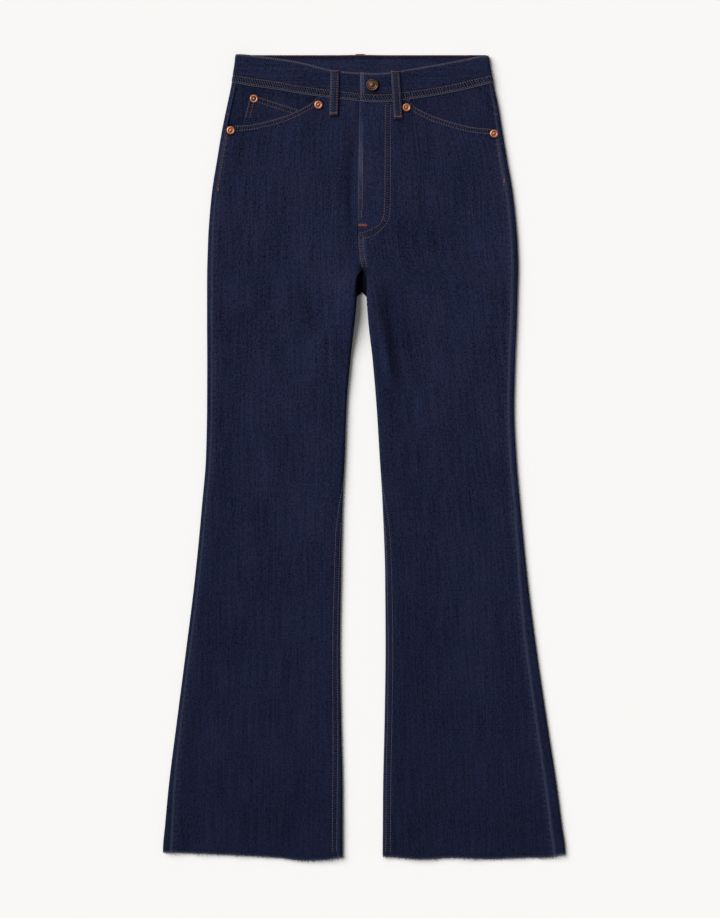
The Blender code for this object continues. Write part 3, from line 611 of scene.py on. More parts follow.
@functools.cache
def band_grid():
    """The band as one strip: from its lapping end over the left front, round the back, to the underlap.

    Returns the grid of its outer face and the kind of each column: 0 for the left front, 1 for the folds,
    2 for the back and 3 for the right front.
    """
    left = np.arange(BAND_END, BAND_FRONT_REACH[LEFT], BAND_STEP)
    right = np.arange(BAND_FRONT_REACH[RIGHT], UNDERLAP_END, BAND_STEP)
    turn = np.linspace(1, -1, 13)
    back = np.linspace(BAND_BACK_REACH, -BAND_BACK_REACH, 110)
    kinds = np.repeat([0, 1, 2, 1, 3], [len(left), len(turn), len(back), len(turn), len(right)])
    sides = np.where(np.arange(len(kinds)) < len(left) + len(turn) + len(back) // 2, LEFT, RIGHT)
    values = np.concatenate([left, turn, back, turn[::-1], right])
    up = np.linspace(0, 1, BAND_ROWS)[:, None]
    y_back = BAND_LOW_BACK + 0 * values
    edge = outer_edge(read(y_back), sides)
    normal = face_normal(lambda at: underside(at, y_back), values, -1)
    flat = (values, underside(values, y_back), *normal)
    fold = fold_arc(edge, sides, OUT_TURN, BAND_FOLD, values)
    front = band_front(sides, values)
    x, z, nx, nz = (np.choose(kinds, parts) for parts in zip(front, fold, flat, front))
    back_share = np.choose(kinds, (0 * x, (1 - values) / 2, 1 + 0 * x, 0 * x))
    low = band_low(x, 1 - 2 * back_share)
    high = BAND_TOP(x) * (1 - back_share) + BAND_TOP_BACK * back_share
    hidden = (kinds == 3) & (values > BAND_END)
    low, high = low + UNDERLAP_TRIM * hidden, high - UNDERLAP_TRIM * hidden
    y = low + (high - low) * up
    narrow = up * (edge - outer_edge(read(BAND_TOP_BACK + 0 * values), sides))
    narrow = narrow * smooth((np.abs(x) - 90) / 85)
    grid = Grid(x - narrow, y, z + 0 * y, nx + 0 * y, nz + 0 * y)
    return grid, kinds


@functools.cache
def facing_grid(side):
    """The panel behind a pocket mouth, from the waist seam down past the mouth and in under the front."""
    shares = np.linspace(0, 1, 60)
    up = np.linspace(0, 1, 30)[:, None] + 0 * shares

    def place(y):
        section = Section(side, y)
        start = section.at(True, section.seam(True, 1))[0]
        return section.on_top(start + (side * FACING_END - start) * shares, FACING_DEPTH[side])

    at_mouth = MOUTHS[side](np.array(side * FACING_MIDDLE)) + 0 * shares[None, :]
    x = place(at_mouth)[0]
    low = np.minimum(MOUTHS[side](x), MOUTHS[side](side * FACING_INNER)) - FACING_TUCK
    y = settle(place, low, up, waist_seam)
    return laid(y, place(y))


@functools.cache
def coin_grid():
    """A patch on the right facing, cut by the pocket mouth, whose lower part runs in under the front."""
    across = np.linspace(0, 1, 48)
    up = np.linspace(0, 1, 26)[:, None]
    top_x = COIN_CORNER[0] + (COIN_END[0] - COIN_CORNER[0]) * across
    top_y = COIN_CORNER[1] + (COIN_END[1] - COIN_CORNER[1]) * across
    low_x = COIN_LOW_X + (COIN_END[0] - COIN_LOW_X) * across
    low_y = MOUTHS[RIGHT](low_x) - COIN_TUCK
    x, y = low_x + (top_x - low_x) * up, low_y + (top_y - low_y) * up
    return laid(y, Section(RIGHT, y).on_top(x, DENIM + GAP))


@functools.cache
def shield_grid():
    """The underlap that the fly closes onto, sewn to the right front's edge."""
    shares = np.linspace(0, 1, 16)
    up = np.linspace(0, 1, 70)[:, None] + 0 * shares
    inner = np.full(1, len(FRONT_OUTER) + len(FRONT_MIDDLE) + len(FRONT_INNER) - 1)

    def place(y):
        start = front_base(RIGHT, y[:, :1], 2 + 0 * inner, 0.0 * inner)[0] + GAP
        x = start + (FLY_WIDTH - 10 - start) * shares
        section = Section(LEFT, y)
        return x, section.top(x) - section.lift(x), 0 * x, 1 + 0 * x

    y = settle(place, FLY_LOW + FLY_ROUND * shares**2, up, waist_seam)
    return laid(y, place(y))


def front_surface(side, x, y):
    """Height of the outer face that a front belt loop or a rivet lies on."""
    return np.where(y >= BAND_LOW(x), band_front(side, x)[1], Section(side, y).top(x))


def loop_grid(loop):
    """The underside of a front belt loop, sewn down at both ends and a little proud between them.

    It follows the mean height of what is round each point, so it bridges the step at the waist seam.
    """
    side = RIGHT if loop.top_x < 0 else LEFT
    across = np.linspace(-0.5, 0.5, 12)
    share = np.linspace(0, 1, 60)[:, None]
    x = loop.low_x + (loop.top_x - loop.low_x) * share + across * LOOP_WIDTH
    y = loop.low_y + (loop.top_y - loop.low_y) * share + 0 * across
    steps = [front_surface(side, x + dx, y + dy) for dx in (-3, 0, 3) for dy in (-6, -2, 2, 6)]
    z = sum(steps) / len(steps) + LOOP_CLEARANCE + LOOP_RISE(share)
    return Grid(x, y, z, 0 * x, 1 + 0 * x)


def in_scene(name, data):
    obj = bpy.data.objects.new(name, data)
    bpy.context.scene.collection.objects.link(obj)
    return obj


def mesh_object(name, bm, material):
    """An object from a bmesh, which is used up."""
    mesh = bpy.data.meshes.new(name)
    bm.to_mesh(mesh)
    bm.free()
    mesh.materials.append(material)
    return in_scene(name, mesh)


def piece(name, bm, material):
    """A finished piece, which rides on the garment's one body."""
    obj = mesh_object(name, bm, material)
    obj.data.shade_smooth()
    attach(obj, "root")
    return obj


def to_frame(points):
    """Table points as metres in the frame."""
    return (points - (0, Y_MIDDLE, 0)) * MM


def cloth_piece(node, outer, inner, tones, left_out=None, turned_weave=False):
    """A node's shell: a closed wall of cloth between two grids, with a UV map along the weave.

    tones holds an array the size of the grid for the outer face, or a pair for the outer and the inner,
    and each becomes an attribute that the cloth's finish reads.
    """
    rows, columns = outer.x.shape
    bm = bmesh.new()
    bmesh.ops.create_grid(bm, x_segments=columns - 1, y_segments=rows - 1, size=1)
    if left_out is not None:
        def cell(face):
            low_x, low_y = (min(vert.co[axis] for vert in face.verts) for axis in (0, 1))
            return round((low_y + 1) / 2 * (rows - 1)), round((low_x + 1) / 2 * (columns - 1))

        gone = [face for face in bm.faces if left_out[cell(face)]]
        bmesh.ops.delete(bm, geom=gone, context="FACES")
    inside = bm.verts.layers.int.new("inside")
    made = bmesh.ops.extrude_face_region(bm, geom=bm.faces[:], use_keep_orig=True)
    for vert in made["geom"]:
        if isinstance(vert, bmesh.types.BMVert):
            vert[inside] = 1
    places = np.array([vert.co for vert in bm.verts])
    is_inside = np.array([vert[inside] for vert in bm.verts], bool)
    i = np.rint((places[:, 0] + 1) / 2 * (columns - 1)).astype(int)
    j = np.rint((places[:, 1] + 1) / 2 * (rows - 1)).astype(int)
    points = np.where(is_inside[:, None], points_of(inner)[j, i], points_of(outer)[j, i])
    for vert, point in zip(bm.verts, to_frame(points)):
        vert.co = point
    bmesh.ops.recalc_face_normals(bm, faces=bm.faces)
    obj = piece(f"{node}_cloth", bm, denim())
    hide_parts(node)
    obj.data.set_sharp_from_angle(angle=math.radians(60))
    middle = columns // 2
    weave = reach(outer)
    weave = weave - weave[:, middle:middle + 1] + outer.x[:, middle:middle + 1]
    u, v = (outer.y, weave) if turned_weave else (weave, outer.y)
    add_uv(obj, u[j, i] * MM, v[j, i] * MM)
    for tone, value in {"reverse": (0 * outer.x, 1 + 0 * outer.x), **tones}.items():
        outside_value, inside_value = value if isinstance(value, tuple) else (value, 0 * outer.x)
        layer = obj.data.attributes.new(tone, "FLOAT", "POINT")
        picked = np.where(is_inside, inside_value[j, i], outside_value[j, i])
        layer.data.foreach_set("value", picked.astype(np.float32))
    obj.data.attributes.remove(obj.data.attributes["inside"])
    return obj


def add_uv(obj, u, v):
    """A UV map from one place for each vertex."""
    corners = np.empty(len(obj.data.loops), np.int32)
    obj.data.loops.foreach_get("vertex_index", corners)
    layer = obj.data.uv_layers.new(name="weave")
    layer.uv.foreach_set("vector", np.stack([u[corners], v[corners]], -1).astype(np.float32).ravel())


# Sewing


def inset_path(grid, distance, edge):
    """Points and normals along a panel, at a distance in from its first or last column, or its last row.

    The distance is one number, or one for each place along the edge.
    """
    if edge == "first":
        way = grid
    elif edge == "last":
        way = turned_grid(grid, across=True)
    else:
        way = Grid(*(part[::-1].T for part in grid))
    gone = reach(way, 1)
    points, normals = points_of(way), normals_of(way)
    distance = np.broadcast_to(distance, len(gone))
    k = np.clip((gone <= distance[:, None]).sum(1) - 1, 0, gone.shape[1] - 2)
    row = np.arange(len(k))
    t = ((distance - gone[row, k]) / np.maximum(gone[row, k + 1] - gone[row, k], 1e-6))[:, None]
    return points[row, k] * (1 - t) + points[row, k + 1] * t, normals[row, k]


def between(path, low, high, axis=1):
    """The stretch of a path whose coordinate on the axis lies from low to high."""
    points, normals = path
    keep = (points[:, axis] >= low) & (points[:, axis] <= high)
    return points[keep], normals[keep]


def dropped(obj, line, from_below=False):
    """A line of (x, y) laid onto a piece from above, or from below, as points and normals."""
    points, normals = [], []
    way = 1 if from_below else -1
    bpy.context.view_layer.update()
    for x, y in line:
        start = Vector(to_frame(np.array((x, y, -60 * way))))
        hit, place, normal, _ = obj.ray_cast(start, Vector((0, 0, way)))
        if hit:
            points.append(np.array(place) / MM + (0, Y_MIDDLE, 0))
            normals.append(np.array(normal))
    return np.array(points), np.array(normals)


def read_at(distance, gone, values):
    """What a line of values is at a distance along it."""
    return np.array([np.interp(distance, gone, column) for column in values.T])


def fine_line(points, step=2.0):
    """The (x, y) points of a table joined by straight runs, with a point at every step."""
    places = np.array(points, float)
    gone = run_along(places)
    at = np.linspace(0, gone[-1], max(2, int(gone[-1] / step)))
    return read_at(at, gone, places).T


class Sewing:
    """Threads gathered into one mesh: rows of stitches, and bar tacks."""

    def __init__(self):
        self.bm = bmesh.new()
        one = bmesh.new()
        bmesh.ops.create_uvsphere(one, u_segments=6, v_segments=5, radius=1)
        self.shape = bpy.data.meshes.new("stitch")
        one.to_mesh(self.shape)
        one.free()

    def thread(self, place, along, normal, length, width, rise=0.25):
        """One stitch: a plump thread end to end along its direction, bedded in the cloth."""
        z_axis = Vector(along).normalized()
        y_axis = Vector(normal) - z_axis * z_axis.dot(Vector(normal))
        y_axis.normalize()
        x_axis = y_axis.cross(z_axis)
        turn = Matrix((x_axis, y_axis, z_axis)).transposed().to_4x4()
        size = Matrix.Diagonal((width / 2 * MM, width * 0.42 * MM, length / 2 * MM, 1))
        at = Vector(to_frame(np.array(place))) + y_axis * rise * MM
        at.z = max(at.z, width * 0.42 * MM)
        stitch = self.shape.copy()
        stitch.transform(Matrix.Translation(at) @ turn @ size)
        self.bm.from_mesh(stitch)
        bpy.data.meshes.remove(stitch)

    def row(self, path, pitch=3.4, length=2.2, width=0.8, rise=0.12):
        """Stitches along a path of points and normals, one for each pitch."""
        points, normals = path
        if len(points) < 2:
            return
        gone = run_along(points)
        for middle in np.arange(pitch / 2, gone[-1], pitch):
            start, end = (read_at(middle + way * pitch / 2, gone, points) for way in (-1, 1))
            place, normal = (read_at(middle, gone, source) for source in (points, normals))
            self.thread(place, end - start, normal, length, width, rise)

    def rows(self, grid, distances, edge, low=-math.inf, high=math.inf, axis=1, **look):
        """Stitches at distances in from a panel's edge, from low to high on an axis."""
        for distance in distances:
            self.row(between(inset_path(grid, distance, edge), low, high, axis), **look)

    def tack(self, place, along, normal, length, width=1.6, rise=0.45):
        """A bar tack: close threads across a short bar."""
        along = np.array(along, float) / np.linalg.norm(along)
        across = np.cross(normal, along)
        count = max(4, round(length / 0.75))
        for k in range(count):
            at = np.array(place) + along * length * ((k + 0.5) / count - 0.5)
            slant = across + along * (0.18 if k % 2 else -0.18)
            self.thread(at, slant, normal, width, 0.8, rise)

    def made(self, name, thread="tobacco_thread"):
        bpy.data.meshes.remove(self.shape)
        obj = piece(name, self.bm, thread_finish(thread))
        return obj


# Finishes


class Value:
    """A number socket that takes part in arithmetic: each operator adds its Math node."""

    def __init__(self, finish, socket):
        self.finish, self.socket = finish, socket

    def __add__(self, other):
        return self.finish.maths("ADD", self, other)

    def __sub__(self, other):
        return self.finish.maths("SUBTRACT", self, other)

    def __rsub__(self, other):
        return self.finish.maths("SUBTRACT", other, self)

    def __mul__(self, other):
        return self.finish.maths("MULTIPLY", self, other)

    __radd__, __rmul__ = __add__, __mul__


class Finish:
    """A material under construction."""

    def __init__(self, name, **constants):
        self.material = bpy.data.materials.new(name)
        self.material.use_nodes = True
        self.tree = self.material.node_tree
        self.shader = self.tree.nodes["Principled BSDF"]
        for socket, value in constants.items():
            self.shader.inputs[socket.replace("_", " ")].default_value = value

    def add(self, kind, settings=(), inputs=(), output=0):
        """A node of a kind, with its settings made first, then its sockets set or linked."""
        node = self.tree.nodes.new(kind)
        for name, value in dict(settings).items():
            if name == "stops":
                for element, (position, colour) in zip(node.color_ramp.elements, value):
                    element.position, element.color = position, colour
            else:
                setattr(node, name, value)
        for name, value in dict(inputs).items():
            self.feed(node.inputs[name], value)
        return Value(self, node.outputs[output])

    def feed(self, socket, value):
        if isinstance(value, Value):
            self.tree.links.new(value.socket, socket)
        else:
            socket.default_value = value

    def maths(self, operation, *values):
        return self.add("ShaderNodeMath", {"operation": operation}, dict(enumerate(values)))

    def clamped(self, value):
        return self.add("ShaderNodeClamp", inputs={"Value": value})

    def mix(self, share, a, b):
        """A colour between a and b."""
        inputs = {0: share, 6: a, 7: b}
        return self.add("ShaderNodeMix", {"data_type": "RGBA"}, inputs, output=2)

    def attribute(self, name):
        return self.add("ShaderNodeAttribute", {"attribute_name": name}, output="Fac")

    def place(self):
        """The point in the piece's own space."""
        return self.add("ShaderNodeTexCoord", output="Object")

    def split(self, vector):
        """A vector's first two numbers."""
        outputs = self.add("ShaderNodeSeparateXYZ", inputs={0: vector}).socket.node.outputs
        return Value(self, outputs[0]), Value(self, outputs[1])

    def grain(self, place, scale, detail=2.0, start=0.0):
        """Noise from 0 to 1 with so many cells in a metre each way."""
        at = self.add("ShaderNodeMapping", inputs={
            "Vector": place, "Scale": scale, "Location": (start, start, start),
        })
        return self.add("ShaderNodeTexNoise", inputs={"Vector": at, "Scale": 1.0, "Detail": detail})

    def bumped(self, height, distance, strength=1.0):
        normal = self.add("ShaderNodeBump", inputs={
            "Height": height, "Distance": distance, "Strength": strength,
        })
        self.feed(self.shader.inputs["Normal"], normal)

    def done(self, **sockets):
        for name, value in sockets.items():
            self.feed(self.shader.inputs[name.replace("_", " ")], value)
        return self.material


def rgba(colour, factor=1.0):
    return (colour[0] * factor, colour[1] * factor, colour[2] * factor, 1)


ROPE_PITCH = 3.4  # of the ribs that form between two rows of stitching


@functools.cache
def denim():
    """Unwashed indigo twill: slubby warp, a fine diagonal, faint patches, and pale where it is rubbed."""
    settings = bpy.context.scene.jeans_cloth
    cloth = Finish("indigo_denim", Specular_IOR_Level=0.04)
    weave = cloth.add("ShaderNodeUVMap", {"uv_map": "weave"})
    across, up = cloth.split(weave)
    slub = cloth.grain(weave, (430, 14, 1), 3)
    yarn = cloth.grain(weave, (900, 150, 1), 2, 5)
    fleck = cloth.grain(weave, (420, 420, 1), 2, 9)
    patch = cloth.grain(weave, (16, 9, 1), 3, 3)
    blush = cloth.grain(weave, (30, 17, 1), 2, 17)
    diagonal = cloth.maths("SINE", (across * 0.86 + up * 0.5) * (math.tau / 0.00105))
    tone = 0.5 + (slub - 0.5) * 0.85 + (yarn - 0.5) * 1.0 + (fleck - 0.5) * 1.4 + diagonal * 0.1
    tone = cloth.clamped(tone + (patch - 0.5) * 0.45)
    colour = cloth.mix(tone, rgba(settings.indigo, 0.1), rgba(settings.indigo, 1.9))
    colour = cloth.mix(cloth.clamped((blush - 0.42) * 3) * 0.45 * tone, colour, rgba(settings.blush, 1.4))
    # painted shade: the cloth is darker towards the hem, by its place up the piece
    _, height = cloth.split(cloth.place())
    colour = cloth.mix(cloth.clamped(0.12 - height * 0.55), colour, rgba(settings.indigo, 0.35))
    # wear and painted highlight: the pale colour stands for rubbed edges and for light caught on edges,
    # ridges and pucker crests
    fade = cloth.attribute("fade") * (0.35 + fleck * 1.3)
    colour = cloth.mix(cloth.clamped(fade), colour, rgba(settings.pale))
    # painted shade: hollows, the crotch, the fork between the legs, rings round rivets and the edge under
    # the fly are darkened
    colour = cloth.mix(cloth.attribute("deep"), colour, rgba(settings.indigo, 0.1))
    sway = cloth.grain(weave, (160, 160, 1), 1, 21) * 6
    beat = cloth.maths("SINE", cloth.attribute("along") * (math.tau / ROPE_PITCH) + sway)
    roped = cloth.attribute("roped")
    # painted shade and highlight on the ribs: the ribbed zone is darkened, the crests painted pale and the
    # hollows dark
    colour = cloth.mix(cloth.clamped(roped * 0.5), colour, rgba(settings.indigo, 0.1))
    colour = cloth.mix(cloth.clamped(beat * roped) * (fleck * 1.15), colour, rgba(settings.pale))
    colour = cloth.mix(cloth.clamped(0 - beat * roped) * 0.9, colour, rgba(settings.indigo, 0.1))
    colour = cloth.mix(cloth.attribute("reverse") * 0.85, colour, rgba(settings.reverse))
    relief = diagonal * 0.25 + slub * 0.6 + yarn * 0.5 + fleck * 0.6 + beat * roped * 0.8
    cloth.bumped(relief, 0.0003, 0.9)
    return cloth.done(Base_Color=colour, Roughness=0.8 + (fleck - 0.5) * 0.2)


@functools.cache
def thread_finish(name):
    """Spun topstitching thread, each length a little lighter or darker, with its fine twist."""
    colours = bpy.context.scene.jeans_sewing
    colour = {
        "tobacco_thread": colours.thread, "orange_thread": colours.tack, "grey_thread": colours.inseam,
    }[name]
    thread = Finish(name, Specular_IOR_Level=0.25)
    place = thread.place()
    length = thread.grain(place, (260, 260, 260), 1)
    fuzz = thread.grain(place, (2600, 2600, 2600), 2, 4)
    tone = thread.clamped(0.5 + (length - 0.5) * 1.6 + (fuzz - 0.5) * 0.8)
    colour = thread.mix(tone, rgba(colour, 0.6), rgba(colour, 1.4))
    thread.bumped(fuzz, 0.0001, 0.6)
    return thread.done(Base_Color=colour, Roughness=0.7 + (fuzz - 0.5) * 0.2)


def metal_finish(name, colour, tarnish, amount):
    """Rubbed metal: tarnish gathers in soft patches, and fine scratches break up its gloss."""
    metal = Finish(name, Metallic=1.0)
    place = metal.place()
    patch = metal.grain(place, (420, 420, 420), 3)
    scratch = metal.grain(place, (3000, 500, 1500), 3, 7)
    dark = metal.clamped((patch - 0.42) * 4) * amount
    colour = metal.mix(dark, rgba(colour), rgba(tarnish))
    metal.bumped(patch * 0.6 + scratch * 0.4, 0.00012, 0.7)
    return metal.done(Base_Color=colour, Roughness=0.46 + dark * 0.2 + (scratch - 0.5) * 0.2)


@functools.cache
def floor_finish():
    """Matt pale paper board with a barely seen tooth."""
    board = Finish("pale_board", Specular_IOR_Level=0.0)
    tooth = board.grain(board.place(), (40, 40, 40), 3)
    floor = bpy.context.scene.jeans_stage.floor
    colour = board.mix(tooth, rgba(floor, 0.995), rgba(floor))
    return board.done(Base_Color=colour, Roughness=0.95 + 0.02 * tooth)


# Relief of the cloth


# How far in from its seam or edge each pair of rows of stitching lies.
INSEAM_ROWS, CENTRE_ROWS, BAND_SEAM_ROWS = (1.6, 7.7), (1.5, 7.6), (2.5, 10)
MOUTH_ROWS, COIN_ROWS = (1.2, 7), (1.4, 7)
PUCKER = 7.5  # length of one pucker along a seam
ROLL_REACH, ROLL_START, ROLL_SPAN = 8.5, 430, 105
SEWN_HOLLOW = 0.36  # how far the underside stands off the surface where it is sewn


def rolled(y):
    """How far the inseam's rows have rolled over the leg's edge, out of sight, at a height."""
    return ROLL_REACH * smooth((y - ROLL_START) / ROLL_SPAN)


def sewn(distance, along, rows, depth, seed):
    """Dents along rows of stitching, and the puckers that the thread draws across them."""
    total = -0.25 * depth * sum(bell((distance - row) / 1.3) for row in rows)
    phase = 1.3 * np.sin(along / 31 + seed) + 0.9 * np.sin(along / 13.7 + 2 * seed)
    drawn = np.sin(along * math.tau / PUCKER + phase + 0.5 * distance)
    strength = 0.6 + 0.4 * np.sin(along / 47 + 3 * seed)
    near = 1 - smooth((distance - max(rows)) / 6)
    return total + 0.22 * depth * drawn * strength * near


def front_relief(side, grid):
    """Everything that lifts or hollows a front off its plain form, and where it is paler."""
    settings = bpy.context.scene.jeans_cloth
    pucker = settings.pucker
    x, y = grid.x, grid.y
    from_out = reach(grid, 1)
    from_in = reach_back(grid)
    from_top = reach_back(grid, 0)
    seed = 3 + side
    inside = smooth(from_out / 14) * smooth(from_in / 6)
    lift = settings.crease * creases(FRONT_CREASES, x, y) * smooth(from_in / 8)
    lift += inside * (0.5 + 0.45 * waves(x, y, 46, seed) + 0.18 * waves(x, y, 15, seed + 4))
    leg = 1 - smooth((y - 780) / 20)
    from_inseam = from_in + rolled(y)
    lift += sewn(from_inseam, y, INSEAM_ROWS, pucker, seed) * leg
    lift += 0.5 * bell(from_out / 2.2) + sewn(from_out, y, (1.0,), 0.8 * pucker, seed + 2)
    at_mouth = (np.abs(x) > POCKET_INNER - 4) * smooth((y - 930) / 30)
    lift += at_mouth * sewn(from_top, x, MOUTH_ROWS, 1.2 * pucker, seed + 5)
    lift += at_mouth * 0.4 * (1 - smooth((from_top - 7) / 5))
    lift += 0.9 * waves(x, y * 0.5, 24, seed + 7) * (1 - smooth((y - HEM(x)) / 16)) * inside
    # pale at the raw hem, wear and painted highlight along the edges and the pocket mouth, and painted
    # highlights on the puckers' crests beside the outseam
    fade = 0.5 * bell(from_out / 0.6) + 0.15 * bell(from_in / 1.2) * leg
    fade += 0.25 * bell((y - HEM(x)) / 1.0) + at_mouth * 0.3 * bell(from_top / 1.0)
    fade += 0.12 * bell((from_out - 3) / 2.5) * (0.5 + 0.5 * np.sin(y * math.tau / PUCKER))
    # painted shade at the inner edges near the crotch, over the crotch and in a ring round each rivet
    deep = 0.45 * bell(from_in / 1.5) * leg * smooth((y - 640) / 100)
    deep += 0.9 * bell(np.hypot((x + 2.7) / 7, (y - CROTCH_Y + 2) / 12))
    ringed = rivet_rings(x, y)
    deep += 0.8 * ringed
    # where the ribs beside the rows lie, on which the finish paints light and shade
    roped = 0.25 * bell((from_inseam - 4.6) / 2.6) * leg + 0.5 * at_mouth * bell((from_top - 4.1) / 2.8)
    along = np.where(at_mouth > 0.5, 1.05 * x + 0.3 * from_top, y)
    if side == LEFT:
        rise = smooth((y - CROTCH_Y) / 12)
        lift += rise * sewn(from_in, y, (1.5, 8), pucker, 9) * (1 - smooth((y - 868) / 10))
        # wear and painted highlight: a pale strip along the fly's edge, strongest near its middle
        worn_and_lit = 0.05 + 0.25 * bell((y - 938) / 40) + 0.06 * waves(y, 3 * x, 18, 51)
        fly_edge = worn_and_lit * (1 - smooth((from_in - 5) / 2)) + 0.3 * bell(from_in / 1.0)
        fade += rise * (0.3 + 0.7 * smooth((y - 850) / 20)) * fly_edge
        fly_lift, fly_roped, fly_along = fly_relief(x, y)
        lift += fly_lift
        below_fly = rise * (1 - smooth((y - 838) / 8))
        # wear and painted highlight on the ridge beside the centre seam below the fly
        fade += 0.2 * below_fly * bell((from_in - 5) / 3.5)
        along = np.where(fly_roped > 0.05, fly_along, along)
        roped += fly_roped + 0.3 * below_fly * bell((from_in - 4.7) / 2.8)
    else:
        lift -= 0.3 * bell((from_in - 3) / 3) * smooth((y - CROTCH_Y) / 12)
        # painted shade along the right front's edge, where it runs in under the fly
        deep += 0.5 * bell(from_in / 2.5) * smooth((y - 850) / 30)
    ground = 2 * DENIM + 0.5  # a trough stops at the back panel under it
    lift = np.maximum(grid.z + lift * grid.nz, np.minimum(ground, grid.z)) - grid.z
    tones = {"fade": fade * (1 - ringed), "deep": np.clip(deep, 0, 1), "roped": roped, "along": along}
    return raised(grid, np.where(grid.nz > 0.3, lift / np.maximum(grid.nz, 0.3), 0)), tones


# The curved topstitching of the fly: its inner row, and how far out the second row lies.
FLY_ROW = (
    (28.8, 1016), (28.5, 960), (28.2, 900), (27.8, 880.5), (26.8, 867), (24.3, 859), (18.9, 852.4),
    (10.8, 847.7), (1.4, 844.3), (-5.4, 842.3),
)
FLY_ROW_OUT = (
    (35.9, 1016), (35.8, 960), (35.6, 900), (35.3, 880.5), (34.4, 866), (31, 855.8), (24.3, 848.4),
    (14.9, 840.3), (5.4, 836.9), (-2.7, 834.9),
)
ZIP_ROW = ((-1.5, 958), (-2, 880), (-3.5, 862))


def near_line(points, x, y):
    """How far each place is from a line, and how far along it."""
    line = fine_line(points, 3.0)
    best, along = np.full(x.shape, 1e9), np.zeros(x.shape)
    gone = 0.0
    for a, b in zip(line, line[1:]):
        run = b - a
        length = np.hypot(*run)
        t = np.clip(((x - a[0]) * run[0] + (y - a[1]) * run[1]) / length**2, 0, 1)
        apart = np.hypot(x - a[0] - t * run[0], y - a[1] - t * run[1])
        closer = apart < best
        best, along = np.where(closer, apart, best), np.where(closer, gone + t * length, along)
        gone += length
    return best, along


def fly_relief(x, y):
    """The fly's double layer, stepped down at its stitching, with ribs between the two rows."""
    zone = (np.abs(x) < 60) & (y > 815)
    inner, along = near_line(FLY_ROW, x[zone], y[zone])
    outer, _ = near_line(FLY_ROW_OUT, x[zone], y[zone])
    lift = np.zeros_like(x)
    within = (x[zone] < np.interp(y[zone], [835, 850, 866, 900], [5, 22, 33, 36])) * 1.0
    midway = bell((inner - outer) / 6)
    lift[zone] = (
        0.25 * within
        - 0.4 * bell(inner / 1.4) - 0.4 * bell(outer / 1.4)
        + 0.28 * np.sin(along * math.tau / PUCKER) * midway * bell((inner + outer - 7) / 6)
    )
    roped, rib_place = np.zeros_like(x), np.zeros_like(x)
    roped[zone] = 0.36 * midway * bell(np.maximum(inner + outer - 8, 0) / 1.2)
    rib_place[zone] = along
    return lift, roped, rib_place


def rivet_rings(x, y):
    """1 in the pressed ring of cloth round each rivet."""
    total = np.zeros_like(x)
    for node in RIVETS:
        low, high = (np.array(corner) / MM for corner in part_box(node))
        middle = (low + high) / 2
        apart = np.hypot(x - middle[0], y - middle[1] - Y_MIDDLE)
        total += bell((apart - 6.6) / 1.1)
    return np.clip(total, 0, 1)


def back_relief(side, grid, from_seam):
    """Shallow hollows and puckers of an underside panel, which leave room for the threads under it."""
    settings = bpy.context.scene.jeans_cloth
    x, y = grid.x, grid.y
    from_out = reach_back(grid)
    from_in = reach(grid, 1)
    flat = smooth((np.abs(x - BACK_CENTRE) - 4) / 6) * np.where(grid.nz < -0.7, 1, 0)
    lift = creases(BACK_CREASES, x, y) - 0.25 - 0.2 * waves(x, y, 40, 11 + side)
    lift += 0.1 * waves(x, y, 14, 13 + side)
    lift = np.clip(lift * flat * settings.crease, -0.4, 0)
    seat = (1 - smooth((np.abs(x - BACK_CENTRE) - 14) / 6)) * smooth((y - CROTCH_Y - 3) / 8)
    sewn_part = np.maximum(seat, 1 - smooth((from_seam - 8) / 4))
    lift = np.minimum(lift, -SEWN_HOLLOW * sewn_part * np.where(grid.nz < -0.7, 1, 0))
    edge = 0.3 * bell(from_out / 1.8) + sewn(from_out, y, (1.0,), 0.5 * settings.pucker, 6 + side)
    lift += edge * np.where(grid.nz > -0.3, 1, 0)
    # pale at the raw hem, and wear and painted highlight at the outer seam and the inner edge
    fade = 0.3 * bell(from_out / 0.7) + 0.5 * bell((y - HEM(x)) / 1.0) + 0.1 * bell(from_in / 1.2)
    return raised(grid, lift), fade


